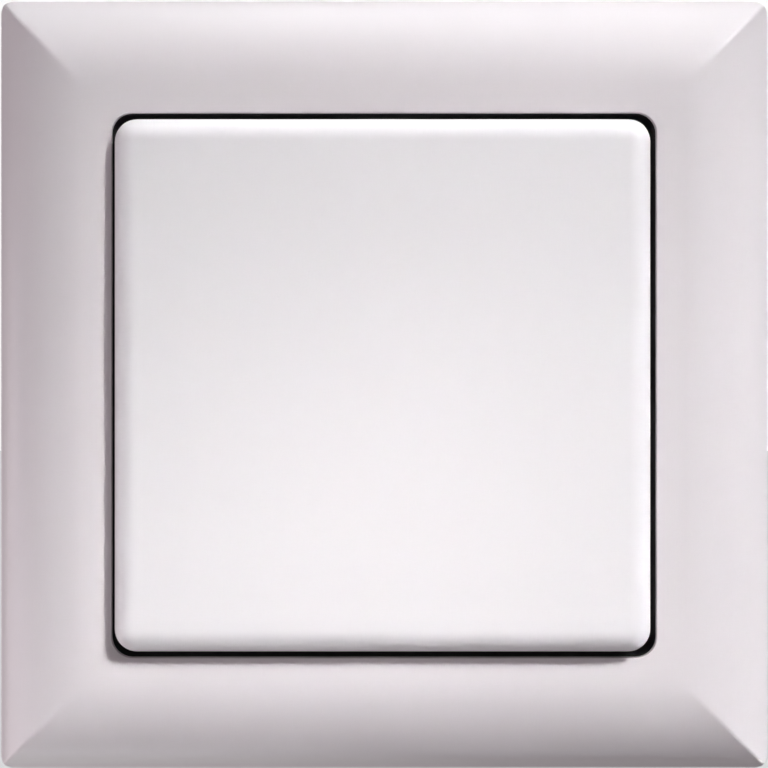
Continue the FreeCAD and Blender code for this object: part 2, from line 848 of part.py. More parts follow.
def support_ring():
    body = piece("support_ring")
    add(body, "front", ring_back, ring_front, [chamfered(ring_size, ring_size, dim.ring_chamfer)])
    window = rectangle(ZERO, ZERO, window_width, window_height)
    claw_holes = [Disc(claw_screw_across * side, ZERO, dim.claw_hole_radius) for side in SIDES]
    rivet_holes = [Disc(*place, rivet_hole) for place in rivet_places]
    slot_radius = dim.box_slot_width / 2
    slot_reach = dim.box_slot_length / 2 - slot_radius
    box_screw_across = ring_size / 2 - dim.box_slot_inset
    slots = []
    for side in SIDES:
        level_slot = slot(box_screw_across * side, ZERO, slot_reach, slot_radius)
        slots += [level_slot, transposed(level_slot)]
    cut(body, "front", ring_back, ring_front, [window] + claw_holes + rivet_holes + slots)

    # Lugs bent forward from the upper and lower edges, each with a window for the frame's tooth
    lug_middle = (lug_inside + lug_outside) / 2
    lugs = []
    for side in SIDES:
        for end in SIDES:
            place = (dim.lug_offset * side, lug_middle * end)
            lugs.append(rectangle(*place, dim.lug_width, dim.ring_thickness))
    add(body, "front", ring_back, dim.lug_height, lugs)
    half_window = dim.tooth_width / 2 + dim.latch_gap
    window_limits = (tooth_low - dim.latch_gap, tooth_high + dim.latch_gap)
    for end in SIDES:
        low, high = ordered(lug_inside * end, lug_outside * end)
        windows = []
        for side in SIDES:
            middle = dim.lug_offset * side
            windows.append(span(middle - half_window, middle + half_window, *window_limits))
        cut(body, "plan", low, high, windows)


def insert_base():
    body = piece("insert_base")
    half_height = dim.base_height / 2
    block = chamfered(dim.base_width, dim.base_height, dim.base_chamfer)
    add(body, "front", base_back, ring_back, [block])
    soften(body, "Chamfer", dim.base_edge, at_depth(base_back))

    # Channels for the claws on both sides, and coring in the upper and lower walls
    channel_outside = dim.base_width / 2 + dim.overshoot
    half_channel = dim.channel_width / 2
    channels = []
    for side in SIDES:
        low, high = ordered(channel_inside * side, channel_outside * side)
        channels.append(span(low, high, -half_channel, half_channel))
    cut(body, "front", base_back, ring_back, channels)
    coring_low = base_back + dim.coring_margin
    coring_high = -dim.coring_margin
    half_coring = dim.coring_width / 2
    for end in SIDES:
        low, high = ordered((half_height - dim.coring_depth) * end, half_height * end)
        cut(body, "plan", low, high, [span(-half_coring, half_coring, coring_low, coring_high)])

    # Inside: pillars under the three terminal plates and walls behind the clamping bars
    cavity = rectangle(ZERO, ZERO, window_width, window_height)
    cut(body, "front", base_floor, ring_back, [cavity])
    pillar_middles = (dim.contact_up, ZERO, -dim.contact_up)
    pillars = [rectangle(ZERO, up, dim.pillar_width, dim.pillar_width) for up in pillar_middles]
    pillar_root = base_floor - dim.base_back_wall / 2
    add(body, "front", pillar_root, terminal_back, pillars)
    wall_inside = bar_inside - dim.partition_thickness
    wall_end = window_height / 2 + dim.overshoot
    walls = []
    for side in SIDES:
        for end in SIDES:
            walls.append(span(
                *ordered(wall_inside * side, bar_inside * side),
                *ordered(partition_low * end, wall_end * end),
            ))
    add(body, "front", pillar_root, -dim.partition_setback, walls)

    # Wire entries with funnels, lever windows and rivet holes
    entries = [(wire_across * side, wire_up * end) for side in SIDES for end in SIDES]
    cut(body, "front", base_back, base_floor, [Disc(*place, dim.wire_radius) for place in entries])

    def entry_edge(edge):
        return isinstance(edge.Curve, Part.Circle) and at_depth(base_back)(edge)

    soften(body, "Chamfer", dim.wire_funnel, entry_edge)
    hole_width = dim.lever_width + dim.lever_gap * 2
    hole_height = dim.lever_height + dim.lever_gap * 2
    holes = [rectangle(wire_across * side, ZERO, hole_width, hole_height) for side in SIDES]
    cut(body, "front", base_back, base_floor, holes)
    rivet_end = -(dim.rivet_reach + dim.running_gap)
    cut(body, "front", rivet_end, ring_back, [Disc(*place, rivet_hole) for place in rivet_places])


def housing_rivets():
    """Two flat-headed rivets in opposite corners, in one node."""
    rivets = []
    head_front = cover_front + dim.rivet_head_height
    for across, up in rivet_places:
        body = new_body("housing_rivet")
        turn(body, across, up, [
            (ZERO, -dim.rivet_reach),
            (dim.rivet_radius, -dim.rivet_reach),
            (dim.rivet_radius, cover_front),
            (dim.rivet_head_radius, cover_front),
            (dim.rivet_head_radius, head_front),
            (ZERO, head_front),
        ])
        rivets.append(body)
    group = doc.addObject("Part::Compound", "housing_rivets")
    group.Links = rivets
    group.Label = "housing_rivets"
    PIECES.append(group)


def contact_rocker():
    body = piece("contact_rocker")
    plate = rounded(ZERO, ZERO, dim.contact_width, dim.contact_length, dim.contact_corner)
    add(body, "front", contact_back, contact_front, [plate])


def contact_tip(label, up, root, radius, facing):
    """A contact rivet head with a bevelled rim, which stands on root and points the way of facing."""
    body = piece(label)
    edge = root + (dim.tip_height - dim.tip_bevel) * facing
    top = root + dim.tip_height * facing
    turn(body, ZERO, up, [
        (ZERO, root),
        (radius, root),
        (radius, edge),
        (radius - dim.tip_bevel, top),
        (ZERO, top),
    ])


def contact_tips():
    for name, end in (("upper", 1), ("lower", -1)):
        up = dim.contact_up * end
        contact_tip(f"{name}_moving_contact", up, contact_back, dim.tip_radius, -1)
        contact_tip(f"{name}_fixed_contact", up, terminal_front, dim.fixed_tip_radius, 1)


def common_terminal():
    """A bar for both left-hand wires, with a tongue to the middle and a knife edge under the contact."""
    body = piece("common_terminal")
    bridge_back = terminal_front - dim.bridge_height
    bar = [
        (terminal_front, -terminal_high),
        (terminal_front, terminal_high),
        (base_floor, terminal_high),
        (base_floor, terminal_low),
        (bridge_back, terminal_low),
        (bridge_back, -terminal_low),
        (base_floor, -terminal_low),
        (base_floor, -terminal_high),
    ]
    add(body, "side", -bar_outside, -bar_inside, [bar])
    half_width = dim.contact_width / 2
    half_tongue = dim.tongue_width / 2
    tongue = span(-bar_outside, half_width, -half_tongue, half_tongue)
    add(body, "front", terminal_back, terminal_front, [tongue])
    half_blade = dim.blade_thickness / 2
    blade_top = terminal_front + dim.blade_height
    shoulder = blade_top - dim.blade_point
    blade = [
        (terminal_back, -half_blade),
        (shoulder, -half_blade),
        (blade_top, ZERO),
        (shoulder, half_blade),
        (terminal_back, half_blade),
    ]
    add(body, "side", -half_width, half_width, [blade])


def switched_terminals():
    """The two right-hand bars, each with an arm that reaches under one end of the contact."""
    half_width = dim.contact_width / 2
    for name, end in (("upper", 1), ("lower", -1)):
        body = piece(f"{name}_terminal")
        bar_limits = ordered(arm_low * end, terminal_high * end)
        add(body, "side", bar_inside, bar_outside, [span(base_floor, terminal_front, *bar_limits)])
        arm_limits = ordered(arm_low * end, arm_high * end)
        add(body, "front", terminal_back, terminal_front, [span(-half_width, bar_outside, *arm_limits)])


def clamp_springs():
    """Bent leaf springs: one leg on the wall, one tongue that presses the wire on its bar."""
    half = dim.clamp_thickness / 2
    inner = dim.clamp_bend_radius - half
    outer = dim.clamp_bend_radius + half
    middle = window_width / 2 - half
    centre = (middle - dim.clamp_bend_radius, -dim.clamp_bend_setback)
    leg_top = centre[1] + dim.clamp_leg
    lean = dim.clamp_angle.sine()
    rise = dim.clamp_angle.cosine()

    def on_bend(radius):
        return centre[0] - rise * radius, centre[1] - lean * radius

    def at_tip(radius):
        root = on_bend(radius)
        return root[0] - lean * dim.clamp_tongue, root[1] + rise * dim.clamp_tongue

    outline = [
        (centre[0] + outer, leg_top),
        (centre[0] + outer, centre[1], centre),
        (centre[0], centre[1] - outer, centre),
        on_bend(outer),
        at_tip(outer),
        at_tip(inner),
        on_bend(inner) + (centre,),
        (centre[0], centre[1] - inner, centre),
        (centre[0] + inner, centre[1]),
        (centre[0] + inner, leg_top),
    ]
    for side_name, side in (("left", -1), ("right", 1)):
        for end_name, end in (("upper", 1), ("lower", -1)):
            body = piece(f"clamp_spring_{end_name}_{side_name}")
            low, high = ordered(terminal_low * end, terminal_high * end)
            add(body, "plan", low, high, [mirrored(outline, side)])


def release_levers():
    """Push blocks in the back wall, with arms inside whose fingers bend the clamp springs open."""
    arm_back = base_floor + dim.lever_gap
    arm_front = arm_back + dim.lever_arm_thickness
    finger_front = arm_back + dim.finger_length
    lever_back = base_back - dim.lever_proud
    finger_low = bar_outside + dim.finger_inset
    finger_high = finger_low + dim.finger_width
    reach = terminal_low + dim.finger_width
    for name, side in (("left", -1), ("right", 1)):
        body = piece(f"release_lever_{name}")
        block = rectangle(wire_across * side, ZERO, dim.lever_width, dim.lever_height)
        add(body, "front", lever_back, arm_front, [block])
        limits = ordered(finger_low * side, finger_high * side)
        add(body, "front", arm_back, arm_front, [span(*limits, -reach, reach)])
        fingers = [span(*limits, *ordered(terminal_low * end, reach * end)) for end in SIDES]
        add(body, "front", arm_back, finger_front, fingers)


def claws():
    """Steel claws beside the housing: a leg, a threaded foot on the screw and a flared, toothed end."""
    half_width = dim.claw_width / 2
    lean = dim.claw_flare_angle.sine()
    fall = dim.claw_flare_angle.cosine()
    leg_inside = claw_screw_across + dim.claw_offset
    leg_outside = leg_inside + dim.claw_thickness
    top = -dim.claw_top_setback
    bend = top - dim.claw_length
    half_turn = dim.claw_flare_angle / 2
    inner_bend = bend - dim.claw_thickness * half_turn.sine() / half_turn.cosine()
    tip = (leg_outside + lean * dim.claw_flare_length, bend - fall * dim.claw_flare_length)
    back_tip = (tip[0] - fall * dim.claw_thickness, tip[1] - lean * dim.claw_thickness)
    foot_front = -dim.claw_foot_setback
    foot_back = foot_front - dim.claw_thickness
    foot_end = channel_inside + dim.claw_foot_gap
    outline = [
        (leg_inside, top),
        (leg_outside, top),
        (leg_outside, bend),
        tip,
        back_tip,
        (leg_inside, inner_bend),
        (leg_inside, foot_back),
        (foot_end, foot_back),
        (foot_end, foot_front),
        (leg_inside, foot_front),
    ]
    thread = dim.claw_screw_radius + dim.running_gap
    notch_end = back_tip[1] - dim.overshoot
    notch_root = tip[1] + dim.claw_notch_depth
    half_notch = dim.claw_notch_width / 2
    for name, side in (("left", -1), ("right", 1)):
        body = piece(f"claw_{name}")
        add(body, "plan", -half_width, half_width, [mirrored(outline, side)])
        cut(body, "front", foot_back, foot_front, [Disc(claw_screw_across * side, ZERO, thread)])
        notches = []
        for end in SIDES:
            up = dim.claw_notch_offset * end
            base = [(notch_end, up - half_notch), (notch_end, up + half_notch)]
            notches.append(base + [(notch_root, up)])
        low, high = ordered(leg_inside * side, (tip[0] + dim.overshoot) * side)
        cut(body, "side", low, high, notches)


def claw_screws():
    """Screws with a ball-shaped head that rocks in the ring's hole as the claw swings."""
    radius = dim.claw_screw_radius
    neck = ball_depth - (ball_radius * ball_radius - radius * radius).root()
    front_radius = (ball_radius * ball_radius - dim.ball_front * dim.ball_front).root()
    front = ball_depth + dim.ball_front
    end = ball_depth - dim.claw_screw_length
    for name, side in (("left", -1), ("right", 1)):
        across = claw_screw_across * side
        body = piece(f"claw_screw_{name}")
        turn(body, across, ZERO, [
            (ZERO, end),
            (radius - dim.claw_screw_point, end),
            (radius, end + dim.claw_screw_point),
            (radius, neck, (ZERO, ball_depth)),
            (front_radius, front),
            (ZERO, front),
        ])
        driver_slot = rectangle(across, ZERO, ball_radius * 2, dim.driver_slot_width)
        cut(body, "front", front - dim.driver_slot_depth, front, [driver_slot])


cover_frame()
gap_seal()
rocker_button()
rocker_carrier()
plunger()
springs()
insert_cover()
support_ring()
insert_base()
housing_rivets()
contact_rocker()
contact_tips()
common_terminal()
switched_terminals()
clamp_springs()
release_levers()
claws()
claw_screws()
doc.recompute()

# Nothing is written unless every object and every piece came out whole
for item in doc.Objects:
    if "Invalid" in item.State or "Error" in item.State:
        raise ValueError(f"{item.Name} is {item.State}")
for part in PIECES:
    if part.Shape.isNull() or not part.Shape.isValid():
        raise ValueError(f"{part.Label} has no valid shape")
os.makedirs("parts", exist_ok=True)
for part in PIECES:
    part.Shape.exportStep(f"parts/{part.Label}.step")
    print(f"{part.Label}: {len(part.Shape.Solids)} solid, {part.Shape.Volume:.1f} cubic mm")
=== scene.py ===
# %% [markdown]
# # A push button light switch
#
# The switch is a white wall switch: a square cover frame with convex sides, one large button that rocks
# and springs back, and behind them the insert that sits in the wall box. The CAD pieces come in as they
# were built, at their real size. This file gives them their looks. It works in metres, with +Z up and
# the front facing -Y, and "depth" means the distance in front of the wall.

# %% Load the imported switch
import json
import math

import bpy
import numpy as np
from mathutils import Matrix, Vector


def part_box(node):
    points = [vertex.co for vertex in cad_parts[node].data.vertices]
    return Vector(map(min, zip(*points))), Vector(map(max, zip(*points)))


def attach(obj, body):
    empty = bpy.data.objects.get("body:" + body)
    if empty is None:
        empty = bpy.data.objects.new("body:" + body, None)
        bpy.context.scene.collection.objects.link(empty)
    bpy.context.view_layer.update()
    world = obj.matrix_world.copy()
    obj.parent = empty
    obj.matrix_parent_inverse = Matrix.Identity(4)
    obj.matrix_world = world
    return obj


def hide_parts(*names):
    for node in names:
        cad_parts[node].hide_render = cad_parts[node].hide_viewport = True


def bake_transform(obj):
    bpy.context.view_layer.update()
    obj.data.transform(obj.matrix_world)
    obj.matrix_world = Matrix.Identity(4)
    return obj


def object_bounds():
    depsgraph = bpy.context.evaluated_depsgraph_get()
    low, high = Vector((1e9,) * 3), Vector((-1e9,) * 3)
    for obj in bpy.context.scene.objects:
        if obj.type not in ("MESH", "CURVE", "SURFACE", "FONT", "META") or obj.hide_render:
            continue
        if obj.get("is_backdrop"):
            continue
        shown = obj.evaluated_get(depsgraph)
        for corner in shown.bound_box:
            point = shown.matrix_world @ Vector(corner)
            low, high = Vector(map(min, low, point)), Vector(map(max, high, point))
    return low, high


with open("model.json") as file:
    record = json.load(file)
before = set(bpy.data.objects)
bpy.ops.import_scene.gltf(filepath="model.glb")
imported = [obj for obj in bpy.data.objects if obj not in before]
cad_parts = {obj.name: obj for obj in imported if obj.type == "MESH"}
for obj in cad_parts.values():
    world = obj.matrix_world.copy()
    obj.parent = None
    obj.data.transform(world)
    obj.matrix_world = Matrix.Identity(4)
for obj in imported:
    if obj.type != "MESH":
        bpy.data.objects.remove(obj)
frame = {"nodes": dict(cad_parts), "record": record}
nodes = frame["nodes"]
cad_low, cad_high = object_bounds()
MM = 0.001
print(f"{len(nodes)} CAD nodes, box {[round(x / MM, 2) for x in cad_high - cad_low]} mm")

# %% [markdown]
# ## The camera
#
# The switch is photographed straight from the front and fills the picture. Two facts fix the camera: the
# frame's outer edge is 766 of 768 pixels wide, and the button, which stands further forward, looks a
# little larger than it is beside the frame. That makes the camera stand about 26 cm from the wall, and
# the lens follows from the scale. A longer lens further away would hide the inner walls of the opening,
# which show as thin strips beside the button. The camera stands 3.3 mm above the middle of the switch,
# because the strips are thinner above the button than below, and a lens shift keeps the frame in place.

# %% Place the camera
PICTURE_PIXELS = 768
SENSOR = 36.0
CAMERA_DISTANCE = 259.6 * MM
CAMERA_UP = 3.3 * MM
PIXELS_PER_MM_AT_WALL = 9.337

camera_data = bpy.data.cameras.new("front_camera")
camera_data.sensor_width = SENSOR
camera_data.lens = PIXELS_PER_MM_AT_WALL / MM * CAMERA_DISTANCE * SENSOR / PICTURE_PIXELS
camera_data.shift_y = -CAMERA_UP / MM * PIXELS_PER_MM_AT_WALL / PICTURE_PIXELS
camera = bpy.data.objects.new("front_camera", camera_data)
bpy.context.scene.collection.objects.link(camera)
camera.location = (0, -CAMERA_DISTANCE, CAMERA_UP)
camera.rotation_euler = (math.pi / 2, 0, 0)
bpy.context.scene.camera = camera
bpy.context.scene.view_settings.view_transform = "Standard"
print(f"lens {camera_data.lens:.1f} mm at {CAMERA_DISTANCE:.3f} m")

# %% [markdown]
# ## From arrays to a mesh
#
# Most pieces of a moulded switch are one profile carried round a rounded square. With numpy that is one
# array of points, rings by columns, and the faces follow from the array's shape. Building it this way
# keeps full control of every radius, which counts here because the whole look of a white switch is in
# how its edges catch the light.


# %% Helpers for grids
def grid_faces(rings, columns, loop_rings):
    """Four-sided faces between neighbours of a grid whose columns close on themselves.

    Corner order is (ring, column), next column, next ring and column, next ring.
    """
    ring = np.arange(rings if loop_rings else rings - 1)[:, None]
    column = np.arange(columns)[None, :]
    next_ring = (ring + 1) % rings
    next_column = (column + 1) % columns
    corners = [
        ring * columns + column,
        ring * columns + next_column,
        next_ring * columns + next_column,
        next_ring * columns + column,
    ]
    return np.stack(corners, axis=-1).reshape(-1, 4)


def fan_faces(first, columns, pole, outward):
    """Triangles from each edge of a ring to one pole point; outward says which way round they go."""
    here = first + np.arange(columns)
    there = first + (np.arange(columns) + 1) % columns
    tip = np.full(columns, pole)
    order = (here, there, tip) if outward else (there, here, tip)
    return np.stack(order, axis=-1)


def carried_grid(points, ends):
    """Points and faces of a ring grid; ends is "loop", or "closed" with a fan at both ends."""
    rings, columns = points.shape[:2]
    faces = grid_faces(rings, columns, ends == "loop").tolist()
    flat = points.reshape(-1, 3)
    if ends == "closed":
        poles = np.stack([points[0].mean(axis=0), points[-1].mean(axis=0)])
        flat = np.concatenate([flat, poles])
        count = rings * columns
        faces += fan_faces(0, columns, count, False).tolist()
        faces += fan_faces(count - columns, columns, count + 1, True).tolist()
    return flat, faces


# %% Helpers for meshes
def mesh_piece(name, parts):
    """One object from several (points, faces) parts, with smooth shading."""
    points = []
    faces = []
    start = 0
    for part_points, part_faces in parts:
        points.append(part_points)
        faces += [[corner + start for corner in face] for face in part_faces]
        start += len(part_points)
    mesh = bpy.data.meshes.new(name)
    mesh.from_pydata(np.concatenate(points).tolist(), [], faces)
    mesh.update()
    mesh.shade_smooth()
    piece = bpy.data.objects.new(name, mesh)
    bpy.context.scene.collection.objects.link(piece)
    print(f"{name}: {len(mesh.vertices)} points, {len(mesh.polygons)} faces")
    return piece


def flat_faces_first(piece):
    """Lets the large flat faces set the shading, so that only the narrow rounds look round."""
    normals = piece.modifiers.new("flat_faces_first", "WEIGHTED_NORMAL")
    normals.weight = 100
    normals.keep_sharp = True


def sharp_edges(piece, degrees):
    """Shades each edge that turns more than this angle as a sharp one."""
    piece.data.set_sharp_from_angle(angle=math.radians(degrees))


# %% [markdown]
# ## Profiles and the path they follow
#
# The path is a unit square with a direction at each point. At a corner the place stands still while the
# direction turns a quarter; along a side the direction stays while the place moves. A ring of any half
# width and corner radius is then place times what is straight, plus direction times the radius. Profiles
# are lists of corners, and each corner is eased with a small arc, as every moulded edge is.


# %% Helpers for profiles carried round a square
def outline_path(corner_steps, side_steps):
    """Place and direction round a unit square, anticlockwise as seen from the front."""
    signs = np.array([(1, 1), (-1, 1), (-1, -1), (1, -1)], float)
    turn = np.linspace(0, math.pi / 2, corner_steps + 1)
    share = np.linspace(0, 1, side_steps + 1)[1:-1]
    places = []
    directions = []
    for index, sign in enumerate(signs):
        angles = turn + index * math.pi / 2
        arc = np.stack([np.cos(angles), np.sin(angles)], axis=1)
        following = signs[(index + 1) % 4]
        places += [np.tile(sign, (len(arc), 1)), sign + np.outer(share, following - sign)]
        directions += [arc, np.tile(arc[-1], (len(share), 1))]
    return np.concatenate(places), np.concatenate(directions)


def carried_rings(path, centre, half, radius, depth):
    """Rounded rectangles stacked along a profile, rings by columns by xyz, in metres.

    A ring is place * (half - radius) + direction * radius about its centre, at its depth in front of
    the wall; half is a pair of half widths for each ring. Measures come in as millimetres.
    """
    place, direction = path
    straight = half - radius[:, None]
    flat = place[None] * straight[:, None] + direction[None] * radius[:, None, None] + centre
    forward = np.broadcast_to(depth[:, None], flat.shape[:2])
    return np.stack([flat[..., 0], -forward, flat[..., 1]], axis=-1) * MM


# %% Helper for eased corners
def eased(corners, steps=5):
    """A closed profile with each corner rounded by an arc.

    A corner is (across, depth, ring radius, easing). The arc touches both edges at easing * cot(half the
    corner's angle) from the corner, and its points keep the corner's ring radius.
    """
    corners = np.array(corners, float)
    rows = []
    for index, corner in enumerate(corners):
        easing = corner[3]
        if easing == 0:
            rows.append(corner[None, :3])
            continue
        before = corners[index - 1, :2] - corner[:2]
        after = corners[(index + 1) % len(corners), :2] - corner[:2]
        back = before / np.linalg.norm(before)
        ahead = after / np.linalg.norm(after)
        half_angle = math.acos(np.clip(back @ ahead, -1, 1)) / 2
        reach = easing / math.tan(half_angle)
        middle = (back + ahead) / np.linalg.norm(back + ahead)
        centre = corner[:2] + middle * easing / math.sin(half_angle)
        start = corner[:2] + back * reach - centre
        stop = corner[:2] + ahead * reach - centre
        first = math.atan2(start[1], start[0])
        swing = (math.atan2(stop[1], stop[0]) - first + math.pi) % (2 * math.pi) - math.pi
        angles = first + swing * np.linspace(0, 1, steps + 1)
        arc = centre + easing * np.stack([np.cos(angles), np.sin(angles)], axis=1)
        radii = np.full(len(arc), corner[2])
        rows.append(np.column_stack([arc, radii]))
    return np.concatenate(rows)


# %% Helpers for flat plates
def prism(outline, low, high, along):
    """A plate: a closed outline of (first, second) points carried straight from low to high.

    along names the axis it is carried on: "x" takes the outline as (z, depth), "z" as (x, depth) and
    "y" as (x, z) with low and high as depths. Its area's sign, by the shoelace sum, says which way round
    the outline goes, and it is turned where that would put the faces inside out.
    """
    first, second = np.array(outline, float).T
    doubled_area = np.sum(first * np.roll(second, -1) - np.roll(first, -1) * second)
    if (doubled_area < 0) != (along == "z"):
        first = first[::-1]
        second = second[::-1]
    walls = []
    for place in (low, high):
        level = np.full(len(first), place)
        if along == "x":
            columns = (level, -second, first)
        elif along == "z":
            columns = (first, -second, level)
        else:
            columns = (first, -level, second)
        walls.append(np.stack(columns, axis=-1))
    points = np.concatenate(walls) * MM
    count = len(first)
    sides = grid_faces(2, count, False).tolist()
    caps = [list(range(count))[::-1], list(range(count, 2 * count))]
    return points, sides + caps


def block(low, high):
    """A plate with a rectangular outline between two corners given as (x, depth, z)."""
    outline = [(low[0], low[2]), (high[0], low[2]), (high[0], high[2]), (low[0], high[2])]
    return prism(outline, low[1], high[1], "y")


def on_side(sign, inside, outside):
    """Two distances from the middle, put on one side of it, the lower first."""
    return sorted((inside * sign, outside * sign))


# %% [markdown]
# ## The cover frame
#
# The frame is one moulding about 2 mm thick. Its face is flat beside the opening and then falls in a
# convex arc to the outer edge, where it leans about 55 degrees. Where two sides meet, the arcs make a
# mitre: sharp at the outer corner and gone where the face is flat. A ring radius of 0.3 mm along the
# slope gives that mitre the fine soft line it has on the real one. The profile goes up the outside, over
# the face, down into the opening and back under the skin, so the shell is closed. The outer sizes are
# read from the CAD nodes.


# %% Sizes of the frame
def measured(node):
    """A node's lowest and highest corners as (x, depth, z), in millimetres to a hundredth."""
    low, high = np.array(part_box(node)) / MM
    return np.round([low[0], -high[1], low[2]], 2), np.round([high[0], -low[1], high[2]], 2)


_, frame_high = measured("cover_frame")
_, seal_high = measured("gap_seal")
FRAME_HALF = frame_high[0]
FRAME_HEIGHT = frame_high[1]
FRAME_SIDE = 4.8
FRAME_WALL = 2.0
FRAME_CORNER = 1.3
OPENING_HALF = 28.1
OPENING_CORNER = 2.1
LAND = 3.0
LAND_EDGE = 1.2
LIP_BACK = seal_high[1]
LIP_WALL = 1.6
MITRE_RADIUS = 0.3
INSIDE_RADIUS = 0.5
CORNER_WIDENS = 0.45
RIM_EASING = 0.2
EDGE_EASING = 0.12
LIP_EASING = 0.15
ROOT_EASING = 0.3

run = FRAME_HALF - OPENING_HALF - LAND
rise = FRAME_HEIGHT - FRAME_SIDE
crown_radius = (run**2 + rise**2) / (2 * rise)
crown_centre = FRAME_HEIGHT - crown_radius
shoulder = OPENING_HALF + LAND
inner_half = FRAME_HALF - FRAME_WALL
lip_top = FRAME_HEIGHT - FRAME_WALL
lip_outside = OPENING_HALF + LIP_WALL
lean = math.degrees(math.asin(run / crown_radius))
print(f"crown radius {crown_radius:.2f} mm, lean {lean:.1f} degrees")


# %% The arcs of the frame's face
def crown_depth(across, radius):
    """Depth of the convex arc: its centre plus the root of radius squared less the run squared."""
    return crown_centre + np.sqrt(radius**2 - (across - shoulder) ** 2)


def crown(start, stop, radius, corner_radius, steps):
    """Profile corners on the arc from one distance to another, with no easing of their own."""
    across = np.linspace(start, stop, steps)
    return np.column_stack([across, crown_depth(across, radius), corner_radius(across), across * 0])


def outside_corner(across):
    """Ring radius on the face: the mitre's, widening as a square to the outer corner's at the edge."""
    share = np.clip((across - FRAME_HALF + CORNER_WIDENS) / CORNER_WIDENS, 0, 1)
    return MITRE_RADIUS + (FRAME_CORNER - MITRE_RADIUS) * share**2


def inside_corner(across):
    """Ring radius under the skin, the same everywhere."""
    return np.full_like(across, INSIDE_RADIUS)


outer_arc = crown(FRAME_HALF - EDGE_EASING, shoulder, crown_radius, outside_corner, steps=44)
inner_arc = crown(shoulder, inner_half, crown_radius - FRAME_WALL, inside_corner, steps=16)
print(f"{len(outer_arc)} points on the face's arc, {len(inner_arc)} under the skin")

# %% Carry the frame's profile round the square
frame_corners = np.concatenate([
    [(FRAME_HALF, 0, FRAME_CORNER, RIM_EASING), (FRAME_HALF, FRAME_SIDE, FRAME_CORNER, EDGE_EASING)],
    outer_arc,
    [
        (OPENING_HALF + LAND_EDGE, FRAME_HEIGHT, OPENING_CORNER, 0),
        (OPENING_HALF, FRAME_HEIGHT, OPENING_CORNER, EDGE_EASING),
        (OPENING_HALF, LIP_BACK, OPENING_CORNER, LIP_EASING),
        (lip_outside, LIP_BACK, OPENING_CORNER, LIP_EASING),
        (lip_outside, lip_top, OPENING_CORNER, ROOT_EASING),
    ],
    inner_arc,
    [(inner_half, 0, INSIDE_RADIUS, RIM_EASING)],
])
frame_path = outline_path(corner_steps=8, side_steps=14)
frame_profile = eased(frame_corners)
frame_half = np.repeat(frame_profile[:, :1], 2, axis=1)
frame_rings = carried_rings(frame_path, np.zeros(2), frame_half, frame_profile[:, 2], frame_profile[:, 1])
frame_shell = mesh_piece("frame_shell", [carried_grid(frame_rings, "loop")])
flat_faces_first(frame_shell)

# %% [markdown]
# Behind the skin the moulding has thin ribs and four latch posts, whose teeth snap into the steel ring.
# They are flat plates, so each is an outline carried straight through its thickness. Their tops run a
# little way into the skin, because on the real moulding they are one with it.

# %% Ribs, latch posts and teeth of the frame
INTO_SKIN = 0.6
RIB_OFFSET = 10.0
RIB_HALF = 0.5
RIB_BACK = 1.6
POST_OFFSET = 20.0
POST_HALF = 3.0
POST_INSIDE = 35.7
POST_OUTSIDE = 37.2
POST_BACK = 1.4
TOOTH_INSIDE = 35.0
TOOTH_HALF = 1.2
TOOTH_BACK = 2.6
TOOTH_FRONT = 3.6
INTO_POST = 0.3
RIB_STEPS = 12

under_skin = crown_radius - FRAME_WALL + INTO_SKIN
rib_across = np.linspace(shoulder, inner_half + INTO_SKIN, RIB_STEPS)
rib_outline = np.concatenate([
    [(lip_outside, RIB_BACK), (lip_outside, lip_top + INTO_SKIN)],
    np.column_stack([rib_across, crown_depth(rib_across, under_skin)]),
    [(inner_half + INTO_SKIN, RIB_BACK)],
])
post_across = np.array([POST_INSIDE, POST_OUTSIDE])
post_outline = np.concatenate([
    [(POST_INSIDE, POST_BACK)],
    np.column_stack([post_across, crown_depth(post_across, under_skin)]),
    [(POST_OUTSIDE, POST_BACK)],
])

frame_details = []
for end in (1, -1):
    tooth_low, tooth_high = on_side(end, TOOTH_INSIDE, POST_INSIDE + INTO_POST)
    for side in (1, -1):
        rib = RIB_OFFSET * side
        post = POST_OFFSET * side
        frame_details += [
            prism(rib_outline * (end, 1), rib - RIB_HALF, rib + RIB_HALF, "x"),
            prism(rib_outline * (end, 1), rib - RIB_HALF, rib + RIB_HALF, "z"),
            prism(post_outline * (end, 1), post - POST_HALF, post + POST_HALF, "x"),
            block((post - TOOTH_HALF, TOOTH_BACK, tooth_low), (post + TOOTH_HALF, TOOTH_FRONT, tooth_high)),
        ]
frame_ribs = mesh_piece("frame_ribs", frame_details)

# %% [markdown]
# ## The painted shade sleeve
#
# The gap round the button is black nearly up to the frame's face. A thin black sleeve lines the opening, as
# if the rubber seal behind the lip reached forward. It is painted shade for the shade that falls in the
# narrow gap, and only the last millimetre of the lip stays white. The sleeve is too thin for the CAD solid,
# so it is made here: a thin band carried round the opening.

# %% Carry the sleeve round the opening
SLEEVE_WALL = 0.1
SLEEVE_BACK = 3.7
SLEEVE_FRONT = 8.7
SLEEVE_RIM = 0.06
SLEEVE_SLOPE = 0.15
INTO_LIP = 0.04

